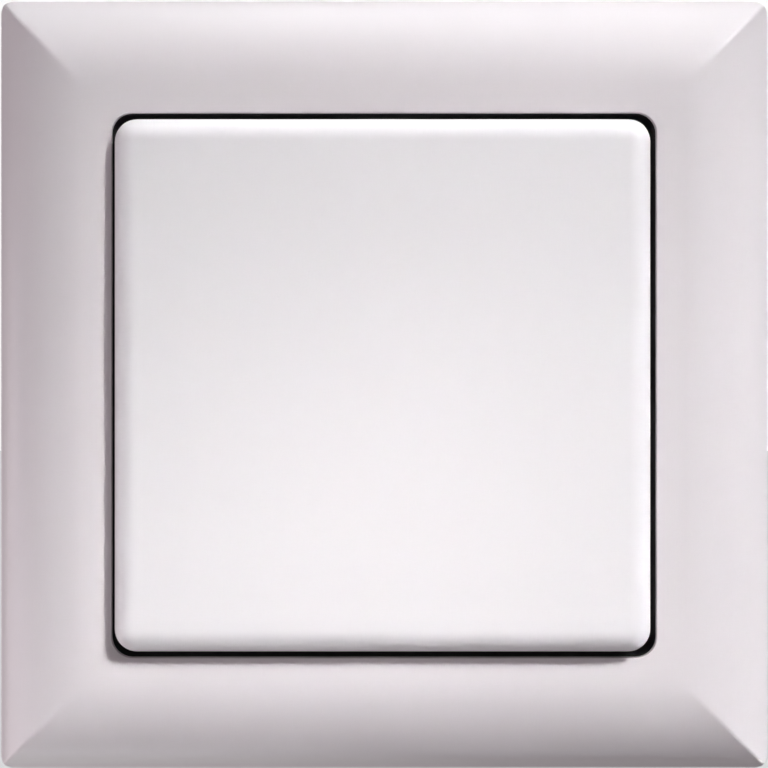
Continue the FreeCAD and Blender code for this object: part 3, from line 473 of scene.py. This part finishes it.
sleeve_inside = OPENING_HALF - SLEEVE_WALL
sleeve_outside = OPENING_HALF + INTO_LIP
sleeve_profile = np.array([
    (sleeve_outside, SLEEVE_BACK),
    (sleeve_outside, SLEEVE_FRONT),
    (sleeve_outside - SLEEVE_RIM, SLEEVE_FRONT),
    (sleeve_inside, SLEEVE_FRONT - SLEEVE_SLOPE),
    (sleeve_inside, SLEEVE_BACK),
])
sleeve_half = np.repeat(sleeve_profile[:, :1], 2, axis=1)
sleeve_radius = OPENING_CORNER + sleeve_profile[:, 0] - OPENING_HALF
sleeve_rings = carried_rings(frame_path, np.zeros(2), sleeve_half, sleeve_radius, sleeve_profile[:, 1])
# A black sleeve round the opening: painted shade in the gap beside the button.
painted_shade_sleeve = mesh_piece("painted_shade_sleeve", [carried_grid(sleeve_rings, "loop")])
sharp_edges(painted_shade_sleeve, degrees=30)

# %% [markdown]
# ## The button
#
# The button is a square cap with rounded edges and walls 1.8 mm thick. The rounded edge is what the eye
# sees first: bright along the top, grey along the bottom. It is a quarter of an ellipse, a little wider
# on the front than on the side, so that the bright band fades softly into the face. It is one profile
# again, from the middle of the front, over the edge, down the side, and back inside to the middle. It
# sits 0.15 mm to the left in its opening, as in the photograph.

# %% Sizes of the button
button_low, button_high = measured("rocker_button")
BUTTON_HALF = (button_high - button_low)[[0, 2]] / 2
BUTTON_MIDDLE = (button_high + button_low)[[0, 2]] / 2
BUTTON_FRONT = button_high[1]
BUTTON_BACK = 5.2
BUTTON_WALL = 1.8
BUTTON_EDGE = 1.8
BUTTON_EDGE_ACROSS = 2.2
BUTTON_CORNER = 2.3
SMALLEST_CORNER = 0.5
FACE_INSET = 24.0
FACE_MARGIN = 0.3
FOOT_HEIGHT = 0.3
FOOT_SQUARENESS = 0.4
ROOT_REACH = 0.4
ROOT_BEND = 0.12
FACE_STEPS = 12
EDGE_STEPS = 15
FOOT_STEPS = 9

button_inside = BUTTON_FRONT - BUTTON_WALL
print(f"button {BUTTON_HALF * 2} mm about {BUTTON_MIDDLE}, front at {BUTTON_FRONT} mm")

# %% Carry the button's profile
face_inset = np.linspace(FACE_INSET, BUTTON_EDGE_ACROSS + FACE_MARGIN, FACE_STEPS)
face_rows = np.column_stack([face_inset, np.full_like(face_inset, BUTTON_FRONT)])
edge_turn = np.linspace(0, math.pi / 2, EDGE_STEPS)
edge_rows = np.column_stack([
    BUTTON_EDGE_ACROSS * (1 - np.sin(edge_turn)),
    BUTTON_FRONT - BUTTON_EDGE * (1 - np.cos(edge_turn)),
])
foot_turn = np.linspace(0, math.pi, FOOT_STEPS)
foot_share = np.sign(np.cos(foot_turn)) * np.abs(np.cos(foot_turn)) ** FOOT_SQUARENESS
foot_rows = np.column_stack([
    BUTTON_WALL / 2 * (1 - foot_share),
    BUTTON_BACK + FOOT_HEIGHT * (1 - np.sin(foot_turn)),
])
inside_rows = np.array([
    (BUTTON_WALL, button_inside - ROOT_REACH),
    (BUTTON_WALL + ROOT_BEND, button_inside - ROOT_BEND),
    (BUTTON_WALL + ROOT_REACH, button_inside),
    (FACE_INSET, button_inside),
])
button_profile = np.concatenate([face_rows, edge_rows, foot_rows, inside_rows])[::-1]
button_radius = np.maximum(BUTTON_CORNER - button_profile[:, 0], SMALLEST_CORNER)
button_path = outline_path(corner_steps=10, side_steps=14)
button_rings = carried_rings(
    button_path, BUTTON_MIDDLE, BUTTON_HALF - button_profile[:, :1], button_radius, button_profile[:, 1],
)
button_cap = mesh_piece("button_cap", [carried_grid(button_rings, "closed")])
flat_faces_first(button_cap)

# %% [markdown]
# Inside the cap two pairs of crossing ribs stiffen the face, two seats rest on the carrier, and four legs
# with hooks clip under it. Like the frame's ribs they are plates that run into the skin. The legs reach as
# far back as the CAD button does.

# %% Ribs, seats and clip legs of the button
CAP_RIB_OFFSET = 17.0
CAP_RIB_HALF = 0.5
CAP_RIB_BACK = 8.6
SEAT_INSIDE = 10.4
SEAT_OUTSIDE = 12.0
SEAT_HALF = 11.4
SEAT_BACK = 9.0
LEG_INSIDE = 12.1
LEG_OUTSIDE = 13.7
LEG_UP = 7.5
LEG_HALF = 2.5
LEG_BACK = button_low[1]
HOOK_INSIDE = 11.5
HOOK_OUTSIDE = 12.9
HOOK_FRONT = 4.6

plate_top = button_inside + INTO_SKIN
wall_middle = BUTTON_HALF - BUTTON_WALL / 2
rib_low = -wall_middle
rib_high = wall_middle + 2 * BUTTON_MIDDLE
button_details = []
for sign in (1, -1):
    rib = CAP_RIB_OFFSET * sign
    below = rib - CAP_RIB_HALF
    above = rib + CAP_RIB_HALF
    seat = on_side(sign, SEAT_INSIDE, SEAT_OUTSIDE)
    leg = on_side(sign, LEG_INSIDE, LEG_OUTSIDE)
    hook = on_side(sign, HOOK_INSIDE, HOOK_OUTSIDE)
    button_details += [
        block((rib_low[0], CAP_RIB_BACK, below), (rib_high[0], plate_top, above)),
        block((below, CAP_RIB_BACK, rib_low[1]), (above, plate_top, rib_high[1])),
        block((seat[0], SEAT_BACK, -SEAT_HALF), (seat[1], plate_top, SEAT_HALF)),
    ]
    for up in (LEG_UP, -LEG_UP):
        button_details += [
            block((leg[0], LEG_BACK, up - LEG_HALF), (leg[1], plate_top, up + LEG_HALF)),
            block((hook[0], LEG_BACK, up - LEG_HALF), (hook[1], HOOK_FRONT, up + LEG_HALF)),
        ]
button_clips = mesh_piece("button_clips", button_details)

# %% [markdown]
# ## The springs
#
# Three coil springs work inside: two bring the button back to level and one presses the plunger. A coil
# is a small circle carried along a helix. In CAD the wire has six sides in short straight lengths; here
# it is round.


# %% Wind the coil springs
STEPS_A_TURN = 24
WIRE_SIDES = 10


def coil(up, back, front, radius, wire, turns):
    """A round wire wound on a helix square to the wall, rings by columns by xyz.

    The middle of the wire turns evenly about the axis while it climbs from back to front, half a wire
    inside both seats; round it lie points at outward * cos - axis * sin of the wire's own angle.
    """
    spin = np.linspace(0, 2 * math.pi * turns, int(STEPS_A_TURN * turns) + 1)[:, None]
    angle = np.linspace(0, 2 * math.pi, WIRE_SIDES, endpoint=False)[None, :]
    climb = np.linspace(back + wire / 2, front - wire / 2, spin.size)[:, None]
    reach = radius + wire / 2 * np.cos(angle)
    depth = climb - wire / 2 * np.sin(angle)
    points = np.stack([reach * np.cos(spin), -depth, up + reach * np.sin(spin)], axis=-1)
    return points * MM


RETURN_SPRING = {"back": -3.0, "front": 4.7, "radius": 1.8, "wire": 0.4, "turns": 4.0}
RETURN_UP = 9.0
spring_sizes = {
    "plunger_spring": {"up": 0.0, "back": 1.0, "front": 5.0, "radius": 1.2, "wire": 0.35, "turns": 4.0},
    "return_spring_upper": {"up": RETURN_UP, **RETURN_SPRING},
    "return_spring_lower": {"up": -RETURN_UP, **RETURN_SPRING},
}
springs = {}
for node, sizes in spring_sizes.items():
    springs[node] = mesh_piece(f"{node}_coil", [carried_grid(coil(**sizes), "closed")])

# %% [markdown]
# The four clamp springs are bent strips of sheet: a leg on the housing's wall, a round bend and a tongue
# that presses on the wire. When a release lever is pushed, its finger lifts the tongue while the leg stays
# where it is.


# %% Bend the clamp springs
CLAMP_BEND = np.array([13.7, -15.5])
CLAMP_RADIUS = 1.1
CLAMP_HALF = 0.2
CLAMP_LEG = 6.5
CLAMP_TONGUE = 4.8
CLAMP_LEAN = math.radians(30)
CLAMP_LOW = 9.0
CLAMP_HIGH = 16.0
LEG_STEPS = 4
BEND_POINTS = 14
TONGUE_STEPS = 12


def leaf_spring(side, low, high):
    """A bent strip, rings by columns by xyz: a rectangle carried along the leg, the bend and the tongue.

    The middle line is the bend's centre plus the way the strip faces times the radius, plus the way it
    runs times the distance before or after the bend. The rectangle reaches half a thickness to both sides
    of it along the way it faces, and from low to high along the wall.
    """
    turn = np.linspace(0, CLAMP_LEAN - math.pi, BEND_POINTS)
    along_leg = np.linspace(-CLAMP_LEG, 0, LEG_STEPS + 1)[:-1]
    along_tongue = np.linspace(0, CLAMP_TONGUE, TONGUE_STEPS + 1)[1:]
    ahead = np.concatenate([along_leg, turn * 0, along_tongue])
    angle = np.concatenate([along_leg * 0, turn, np.full_like(along_tongue, turn[-1])])
    facing = np.stack([np.cos(angle), np.sin(angle)], axis=1)
    running = np.stack([np.sin(angle), -np.cos(angle)], axis=1)
    middle = CLAMP_BEND + CLAMP_RADIUS * facing + ahead[:, None] * running
    offset = CLAMP_HALF * np.array([1, 1, -1, -1])
    flat = middle[:, None] + facing[:, None] * offset[None, :, None]
    up = np.broadcast_to([low, high, high, low], flat.shape[:2])
    points = np.stack([side * flat[..., 0], -flat[..., 1], up], axis=-1) * MM
    return points if side < 0 else points[:, ::-1]


SIDES = {"left": -1, "right": 1}
clamp_springs = {}
for side, sign in SIDES.items():
    for end, low, high in (("upper", CLAMP_LOW, CLAMP_HIGH), ("lower", -CLAMP_HIGH, -CLAMP_LOW)):
        node = f"clamp_spring_{end}_{side}"
        leaf = mesh_piece(f"{node}_leaf", [carried_grid(leaf_spring(sign, low, high), "closed")])
        sharp_edges(leaf, degrees=40)
        clamp_springs[node] = (leaf, side)

# %% [markdown]
# ## Threads and wire collars
#
# Two small things show from behind. The claw screws have a metric thread, which is a sharp ridge wound on
# the shaft: a triangle carried along a helix that climbs half a millimetre a turn. Round each wire entry
# the housing has a low collar, half an ellipse turned about the entry's axis. Both start a little inside
# the piece that carries them.


# %% Wind the screw threads
SCREW_ACROSS = 20.0
SCREW_RADIUS = 1.5
THREAD_BACK = -19.5
THREAD_FRONT = -2.6
THREAD_HEIGHT = 0.16
THREAD_PITCH = 0.5
THREAD_FLANK = 0.42 * THREAD_PITCH
INTO_SHAFT = 0.05
LOWEST_SHARE = 0.1
THREAD_STEPS = 20


def thread_ridge(across):
    """A ridge on a shaft square to the wall, rings by columns by xyz.

    A triangle with its foot just inside the shaft turns about the axis and climbs one pitch each turn.
    Over the first and last half turn it gets lower, until it ends inside the shaft.
    """
    turns = (THREAD_FRONT - THREAD_BACK) / THREAD_PITCH
    spin = np.linspace(0, 2 * math.pi * turns, int(THREAD_STEPS * turns) + 1)[:, None]
    share = np.clip(np.minimum(spin, spin[-1] - spin) / math.pi, LOWEST_SHARE, 1)
    foot = np.full_like(spin, SCREW_RADIUS - INTO_SHAFT)
    reach = np.concatenate([foot, foot + share * (THREAD_HEIGHT + INTO_SHAFT), foot], axis=1)
    climb = THREAD_BACK + THREAD_PITCH * spin / (2 * math.pi)
    depth = climb + np.array([[THREAD_FLANK, 0, -THREAD_FLANK]])
    return np.stack([across + reach * np.cos(spin), -depth, reach * np.sin(spin)], axis=-1) * MM


threads = {}
for side, sign in SIDES.items():
    ridge = thread_ridge(SCREW_ACROSS * sign)
    threads[side] = mesh_piece(f"claw_screw_thread_{side}", [carried_grid(ridge, "closed")])


# %% Turn the collars
ENTRY_ACROSS = 11.5
ENTRY_UP = 13.0
COLLAR_INSIDE = 2.35
COLLAR_OUTSIDE = 3.25
COLLAR_HEIGHT = 0.4
INTO_HOUSING = 0.1
COLLAR_SIDES = 40
COLLAR_ROWS = 9
housing_low, _ = measured("insert_base")
HOUSING_BACK = housing_low[1]


def collar(across, up):
    """A low ring behind the housing: half an ellipse turned about an axis square to the wall."""
    turn = np.linspace(0, 2 * math.pi, COLLAR_SIDES, endpoint=False)[None, :]
    bulge = np.linspace(0, math.pi, COLLAR_ROWS)[:, None]
    reach = (COLLAR_INSIDE + COLLAR_OUTSIDE) / 2 - (COLLAR_OUTSIDE - COLLAR_INSIDE) / 2 * np.cos(bulge)
    depth = HOUSING_BACK + INTO_HOUSING - (COLLAR_HEIGHT + INTO_HOUSING) * np.sin(bulge) + turn * 0
    points = [across + reach * np.cos(turn), -depth, up + reach * np.sin(turn)]
    return np.stack(points, axis=-1) * MM


collars = []
for across in (ENTRY_ACROSS, -ENTRY_ACROSS):
    for up in (ENTRY_UP, -ENTRY_UP):
        collars.append(carried_grid(collar(across, up), "loop"))
entry_collars = mesh_piece("entry_collars", collars)

# %% [markdown]
# ## White moulded plastic
#
# Frame and button are the same kind of satin white plastic: a diffuse white and a broad soft shine. The
# frame's copy is made a shade darker and pinker than the button's; that tone is painted shade, not a
# different plastic. The tool leaves a fine even grain, far below a millimetre, that only softens the shine,
# and the colour drifts by about two percent over the surface. Without these two it would look drawn.


# %% Helper for a new material
def new_material(name):
    """A material with its shader and the piece's own coordinates, scaled to millimetres."""
    material = bpy.data.materials.new(name)
    material.use_nodes = True
    tree = material.node_tree
    shader = tree.nodes["Principled BSDF"]
    coordinates = tree.nodes.new("ShaderNodeTexCoord")
    scaled = tree.nodes.new("ShaderNodeMapping")
    scaled.inputs["Scale"].default_value = (1 / MM, 1 / MM, 1 / MM)
    tree.links.new(coordinates.outputs["Object"], scaled.inputs["Vector"])
    return material, shader, scaled.outputs["Vector"]


# %% Helpers for patterns
def noise(material, vector, scale, detail):
    """Soft cloud noise whose features are about one over scale millimetres wide."""
    node = material.node_tree.nodes.new("ShaderNodeTexNoise")
    node.inputs["Scale"].default_value = scale
    node.inputs["Detail"].default_value = detail
    material.node_tree.links.new(vector, node.inputs["Vector"])
    return node.outputs["Fac"]


def graded(material, factor, low, high, from_low=0.3, from_high=0.7):
    """A number that runs from low to high as the factor goes from one limit to the other."""
    node = material.node_tree.nodes.new("ShaderNodeMapRange")
    node.inputs["From Min"].default_value = from_low
    node.inputs["From Max"].default_value = from_high
    node.inputs["To Min"].default_value = low
    node.inputs["To Max"].default_value = high
    material.node_tree.links.new(factor, node.inputs["Value"])
    return node.outputs["Result"]


def tinted(material, factor, low, high):
    """A colour between two colours, by the factor."""
    node = material.node_tree.nodes.new("ShaderNodeMix")
    node.data_type = "RGBA"
    node.inputs["A"].default_value = (*low, 1)
    node.inputs["B"].default_value = (*high, 1)
    material.node_tree.links.new(factor, node.inputs["Factor"])
    return node.outputs["Result"]


def bumped(material, shader, height, distance, strength):
    """Fine relief on the shader's normal; distance is the height of the relief in millimetres."""
    node = material.node_tree.nodes.new("ShaderNodeBump")
    node.inputs["Distance"].default_value = distance * MM
    node.inputs["Strength"].default_value = strength
    material.node_tree.links.new(height, node.inputs["Height"])
    material.node_tree.links.new(node.outputs["Normal"], shader.inputs["Normal"])


# %% Helper for moulded plastic
def moulded_plastic(name, light, dark, roughness, grain):
    """Moulded plastic: a colour that drifts, a shine that varies and the tool's fine grain."""
    material, shader, vector = new_material(name)
    link = material.node_tree.links.new
    drift = noise(material, vector, scale=0.05, detail=2)
    patches = noise(material, vector, scale=0.6, detail=3)
    pits = noise(material, vector, scale=3.0, detail=2)
    link(tinted(material, drift, dark, light), shader.inputs["Base Color"])
    link(graded(material, patches, *roughness), shader.inputs["Roughness"])
    bumped(material, shader, pits, distance=grain, strength=0.2)
    shader.inputs["IOR"].default_value = 1.6
    return material


# %% Make the white plastics
SATIN = (0.335, 0.35)
FINE_GRAIN = 0.0012
button_white = moulded_plastic(
    "button_white",
    light=(0.835, 0.805, 0.83),
    dark=(0.82, 0.79, 0.81),
    roughness=SATIN,
    grain=FINE_GRAIN,
)
# The frame's white is darker and pinker than the button's: painted shade on the frame.
frame_shaded_white = moulded_plastic(
    "frame_shaded_white",
    light=(0.750, 0.703, 0.727),
    dark=(0.735, 0.683, 0.707),
    roughness=SATIN,
    grain=FINE_GRAIN,
)
print(f"{button_white.name} and {frame_shaded_white.name}: {len(frame_shaded_white.node_tree.nodes)} nodes each")

# %% [markdown]
# ## The plastics of the insert
#
# Behind the frame the insert is plainer: a warm white cover and carrier, a light grey housing and dark
# release levers. They are matt, with a coarser grain than the parts that show. The rubber seal behind the
# frame's lip is nearly black; that black is painted shade, put behind the gap so that the gap round the
# button is as dark as the shade in it.

# %% Make the insert's plastics
insert_plastic = moulded_plastic(
    "insert_plastic",
    light=(0.76, 0.74, 0.69),
    dark=(0.72, 0.70, 0.65),
    roughness=(0.48, 0.58),
    grain=0.010,
)
housing_plastic = moulded_plastic(
    "housing_plastic",
    light=(0.42, 0.43, 0.43),
    dark=(0.37, 0.38, 0.385),
    roughness=(0.50, 0.62),
    grain=0.014,
)
lever_plastic = moulded_plastic(
    "lever_plastic",
    light=(0.045, 0.047, 0.052),
    dark=(0.036, 0.038, 0.042),
    roughness=(0.45, 0.55),
    grain=0.010,
)
# The seal's near-black is painted shade for the gap round the button.
seal_rubber = moulded_plastic(
    "seal_rubber",
    light=(0.018, 0.016, 0.016),
    dark=(0.012, 0.011, 0.011),
    roughness=(0.62, 0.74),
    grain=0.012,
)
print("insert, housing, lever and seal plastics made")

# %% [markdown]
# ## The metals
#
# The support ring and claws are galvanised sheet, which freezes into large pale and dark flakes; a cell
# pattern gives each flake its own grey. Screws and rivets are zinc plated with a faint yellow, springs are
# bright drawn wire, and the current carrying strips are rolled brass, finely streaked along the sheet.
# All are metal shaders, so their colour is the colour of their reflections.


# %% Helpers for metals
def galvanised_sheet():
    """Zinc flakes: random cells about 2 mm wide, each with its own grey and shine."""
    material, shader, vector = new_material("galvanised_steel")
    link = material.node_tree.links.new
    cells = material.node_tree.nodes.new("ShaderNodeTexVoronoi")
    cells.inputs["Scale"].default_value = 0.45
    link(vector, cells.inputs["Vector"])
    flake = material.node_tree.nodes.new("ShaderNodeSeparateColor")
    link(cells.outputs["Color"], flake.inputs["Color"])
    colour = tinted(material, flake.outputs["Red"], (0.52, 0.54, 0.56), (0.66, 0.68, 0.70))
    shine = graded(material, flake.outputs["Green"], 0.34, 0.5, from_low=0.0, from_high=1.0)
    link(colour, shader.inputs["Base Color"])
    link(shine, shader.inputs["Roughness"])
    bumped(material, shader, noise(material, vector, scale=3.0, detail=4), distance=0.01, strength=0.3)
    shader.inputs["Metallic"].default_value = 1.0
    return material


def drawn_metal(name, light, dark, roughness, stretch=(1, 1, 1)):
    """Rolled or drawn metal: noise stretched along one axis gives streaks of colour and shine."""
    material, shader, vector = new_material(name)
    link = material.node_tree.links.new
    streaks = material.node_tree.nodes.new("ShaderNodeMapping")
    streaks.inputs["Scale"].default_value = stretch
    link(vector, streaks.inputs["Vector"])
    grain = noise(material, streaks.outputs["Vector"], scale=2.5, detail=5)
    link(tinted(material, grain, dark, light), shader.inputs["Base Color"])
    link(graded(material, grain, *roughness), shader.inputs["Roughness"])
    bumped(material, shader, grain, distance=0.006, strength=0.3)
    shader.inputs["Metallic"].default_value = 1.0
    return material


# %% Make the metals
ALONG_THE_STRIP = (3, 3, 0.3)
galvanised_steel = galvanised_sheet()
plated_screw = drawn_metal(
    "plated_screw", light=(0.72, 0.69, 0.58), dark=(0.60, 0.57, 0.47), roughness=(0.26, 0.40),
)
spring_steel = drawn_metal(
    "spring_steel", light=(0.58, 0.58, 0.58), dark=(0.46, 0.46, 0.47), roughness=(0.22, 0.34),
)
silver_contact = drawn_metal(
    "silver_contact", light=(0.84, 0.83, 0.81), dark=(0.74, 0.73, 0.71), roughness=(0.24, 0.36),
)
contact_brass = drawn_metal(
    "contact_brass",
    light=(0.80, 0.60, 0.30),
    dark=(0.68, 0.48, 0.22),
    roughness=(0.26, 0.40),
    stretch=ALONG_THE_STRIP,
)
print("five metals made")

# %% [markdown]
# ## Dressing the CAD pieces
#
# The record says which finish each node takes, so the materials are dealt out from it. The pieces that
# stay as CAD solids have perfectly sharp edges, and no made thing has. Three modifiers ease them: the
# loose triangles are welded, flat areas are cleaned of their inner edges, and every real edge gets a
# narrow bevel, wider on mouldings than on small metal pieces.

# %% Deal out the finishes
finishes = {
    "white_plastic": button_white,
    "insert_plastic": insert_plastic,
    "housing_plastic": housing_plastic,
    "lever_plastic": lever_plastic,
    "seal_rubber": seal_rubber,
    "galvanised_steel": galvanised_steel,
    "plated_screw": plated_screw,
    "spring_steel": spring_steel,
    "contact_brass": contact_brass,
    "silver_contact": silver_contact,
}
slot_of = {part["node"]: part["material_slot"] for part in frame["record"]["subparts"]}
for node, piece in nodes.items():
    piece.data.materials.clear()
    piece.data.materials.append(finishes[slot_of[node]])
print(f"finishes dealt out to {len(slot_of)} nodes")


# %% Ease the edges
WELD_WITHIN = 0.001 * MM
FLAT_WITHIN = math.radians(0.5)
SHARPER_THAN = math.radians(35)


def eased_edges(piece, width):
    """Welds the piece, clears its flat faces and bevels each edge that turns more than 35 degrees."""
    weld = piece.modifiers.new("weld", "WELD")
    weld.merge_threshold = WELD_WITHIN
    clean = piece.modifiers.new("clean_flats", "DECIMATE")
    clean.decimate_type = "DISSOLVE"
    clean.angle_limit = FLAT_WITHIN
    bevel = piece.modifiers.new("eased_edges", "BEVEL")
    bevel.width = width * MM
    bevel.segments = 2
    bevel.limit_method = "ANGLE"
    bevel.angle_limit = SHARPER_THAN
    bevel.harden_normals = True


EASED_NODES = {
    0.20: ["gap_seal", "insert_base", "release_lever_left", "release_lever_right"],
    0.12: ["support_ring", "insert_cover", "claw_left", "claw_right", "housing_rivets"],
    0.10: ["rocker_carrier"],
    0.06: [
        "common_terminal", "upper_terminal", "lower_terminal", "contact_rocker",
        "claw_screw_left", "claw_screw_right", "plunger",
    ],
    0.05: [
        "upper_fixed_contact", "lower_fixed_contact", "upper_moving_contact", "lower_moving_contact",
    ],
}
for width, names in EASED_NODES.items():
    for node in names:
        eased_edges(nodes[node], width)
    print(f"{len(names)} CAD nodes eased by {width} mm")

# %% [markdown]
# ## Putting the new pieces in place
#
# The frame, the button and the thin trim ride on the body that carries them. Those that are made again
# from a CAD node stand for it, and the node is hidden. The thin trim, which no node has, takes the finish
# of the slot it belongs to. The springs are made again from their CAD nodes too, and those are hidden.


# %% The frame, the button and the thin trim
def stands_for(node):
    """Hides the CAD node whose place the piece takes."""
    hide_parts(node)


FRAME_RIB_EASING = 0.08
CLIP_EASING = 0.1
eased_edges(frame_ribs, FRAME_RIB_EASING)
eased_edges(button_clips, CLIP_EASING)
for piece in (frame_shell, frame_ribs):
    piece.data.materials.append(frame_shaded_white)
    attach(piece, "switch_insert")
    stands_for("cover_frame")
for piece in (button_cap, button_clips):
    piece.data.materials.append(button_white)
    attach(piece, "button_rocker")
    stands_for("rocker_button")

trim = [
    # The black sleeve is painted shade in the gap round the button.
    (painted_shade_sleeve, "switch_insert", "seal_rubber"),
    (entry_collars, "switch_insert", "housing_plastic"),
    (threads["left"], "left_claw_screw", "plated_screw"),
    (threads["right"], "right_claw_screw", "plated_screw"),
]
for piece, body, slot in trim:
    piece.data.materials.append(finishes[slot])
    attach(piece, body)
print(f"frame, button and {len(trim)} pieces of trim in place")

# %% The springs
for node, piece in springs.items():
    seat = spring_sizes[node]
    piece.data.materials.append(spring_steel)
    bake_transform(piece)
    stands_for(node)
for node, (piece, side) in clamp_springs.items():
    piece.data.materials.append(spring_steel)
    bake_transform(piece)
    stands_for(node)
print(f"{len(springs)} coil springs and {len(clamp_springs)} clamp springs in place")

# %% [markdown]
# ## Light, floor and background
#
# The photograph is lit as a product picture. The key is two softboxes with grids from the upper right, a
# wide one and a smaller core: their beams are brightest low on the button, and they throw the short
# shadows to the left of the button and below it. Wide soft lights hang overhead and at the upper right,
# rim lights just behind the wall plane graze the outer slopes, weak fills come from the left and from
# below, and a small light in front gives the broad shine on the face. Two lights behind the wall plane
# show the back in other views. The strengths were found by rendering every light alone and adding the
# pictures in the right shares. The bright parts of the photograph are a little cooler than the dark ones,
# so the key and the rims above and to the right are faintly cool, and the lights in front and to the left
# are faintly rosy.

# %% Helper for an aimed light
CENTRE = (0, -0.008, 0)
NEUTRAL = (1, 1, 1)


def aimed_light(name, place, size, watts, tint=NEUTRAL, aim=CENTRE, beam=180.0):
    """A square area light at a place, turned to face another; measures in metres, beam in degrees.

    It tilts from straight down by the angle whose cosine is the height over the distance, and turns
    about the upright until it looks at its aim. The lamp itself is not seen, only what it lights.
    """
    data = bpy.data.lights.new(name, "AREA")
    data.size = size
    data.energy = watts
    data.color = tint
    data.spread = math.radians(beam)
    lamp = bpy.data.objects.new(name, data)
    bpy.context.scene.collection.objects.link(lamp)
    away = np.array(place) - np.array(aim)
    tilt = math.acos(away[2] / np.linalg.norm(away))
    lamp.location = place
    lamp.rotation_euler = (tilt, 0, math.atan2(away[1], away[0]) + math.pi / 2)
    lamp.visible_camera = False


# %% Hang the lights
FAINTLY_COOL = (0.985, 1.0, 1.012)
COOL = (0.97, 1.0, 1.025)
ROSE = (1.03, 0.94, 0.97)
PINKISH = (1.02, 0.915, 0.955)

aimed_light(
    "key", (0.42, -0.57, 0.53), size=0.18, watts=0.094,
    tint=FAINTLY_COOL, aim=(-0.004, -0.010, -0.030), beam=13,
)
aimed_light(
    "key_core", (0.48, -0.57, 0.43), size=0.12, watts=0.023,
    tint=FAINTLY_COOL, aim=(-0.018, -0.010, -0.060), beam=9,
)
aimed_light("face_shine", (0.0, -0.30, -0.030), size=0.05, watts=0.088, tint=ROSE)
aimed_light("overhead", (0.0, -0.16, 0.89), size=0.50, watts=1.50)
aimed_light("upper_right", (0.56, -0.16, 0.70), size=0.50, watts=2.0)
aimed_light("top_rim", (0.0, 0.11, 0.89), size=0.30, watts=0.86, tint=COOL)
aimed_light("right_rim", (0.89, 0.11, 0.0), size=0.30, watts=0.21, tint=COOL)
aimed_light("left_rim", (-0.88, 0.11, -0.10), size=0.30, watts=1.0, tint=PINKISH)
aimed_light("low_left_rim", (-0.80, 0.15, -0.40), size=0.30, watts=1.9, tint=PINKISH)
aimed_light("lower_left", (-0.44, -0.13, -0.16), size=0.20, watts=0.40, tint=ROSE)
aimed_light("from_below", (-0.13, 0.05, -0.42), size=0.25, watts=0.46)
aimed_light("low_front", (-0.13, -0.10, -0.42), size=0.25, watts=0.07)
aimed_light("back_light", (0.35, 0.80, 0.50), size=0.60, watts=6.0)
aimed_light("back_fill", (-0.50, 0.80, 0.05), size=0.60, watts=3.5)
print(f"{len(bpy.data.lights)} lights")

# %% [markdown]
# The camera sees a nearly white background, but only a faint glow of it lights the switch, because the
# lights do that. The floor is far below, since the switch hangs on a wall. It is a plain pale tone that
# shines by itself, so that no lamp leaves a bright patch on it.

# %% Make the background
GLOW = 0.02
BACKGROUND_WHITE = 0.96

world = bpy.data.worlds.new("studio")
world.use_nodes = True
tree = world.node_tree
seen = tree.nodes["Background"]
seen.inputs["Color"].default_value = (BACKGROUND_WHITE, BACKGROUND_WHITE, BACKGROUND_WHITE, 1)
glow = tree.nodes.new("ShaderNodeBackground")
glow.inputs["Color"].default_value = (1, 1, 1, 1)
glow.inputs["Strength"].default_value = GLOW
rays = tree.nodes.new("ShaderNodeLightPath")
either = tree.nodes.new("ShaderNodeMixShader")
tree.links.new(rays.outputs["Is Camera Ray"], either.inputs["Fac"])
tree.links.new(glow.outputs["Background"], either.inputs[1])
tree.links.new(seen.outputs["Background"], either.inputs[2])
tree.links.new(either.outputs["Shader"], tree.nodes["World Output"].inputs["Surface"])
bpy.context.scene.world = world
print(f"background {BACKGROUND_WHITE} to the camera, {GLOW} to the switch")

# %% Lay the floor
FLOOR_HALF = 12.0
FLOOR_DROP = 0.45
FLOOR_TONE = (0.98, 0.99, 1, 1)
FLOOR_BRIGHTNESS = 0.70

floor_level = cad_low[2] - FLOOR_DROP
floor_points = np.array([(-1, -1, 0), (1, -1, 0), (1, 1, 0), (-1, 1, 0)]) * FLOOR_HALF
floor = mesh_piece("floor", [(floor_points + (0, 0, floor_level), [[0, 1, 2, 3]])])
floor_paint, floor_shader, _ = new_material("pale_floor")
floor_shader.inputs["Base Color"].default_value = (0, 0, 0, 1)
floor_shader.inputs["Specular IOR Level"].default_value = 0.0
floor_shader.inputs["Emission Color"].default_value = FLOOR_TONE
floor_shader.inputs["Emission Strength"].default_value = FLOOR_BRIGHTNESS
floor.data.materials.append(floor_paint)
floor.visible_diffuse = False
floor.visible_glossy = False
floor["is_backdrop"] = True
print(f"floor at {floor_level / MM:.1f} mm")

# %% [markdown]
# ## Measure and finish
#
# The boxes of the dressed switch and the CAD switch are printed side by side.

# %% Print the sizes and finish
seen_low, seen_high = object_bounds()
sizes = {
    "cad": [list(cad_low), list(cad_high)],
    "seen": [list(seen_low), list(seen_high)],
}
print(f"CAD box {[round(x / MM, 2) for x in cad_high - cad_low]} mm")
print(f"seen box {[round(x / MM, 2) for x in seen_high - seen_low]} mm")
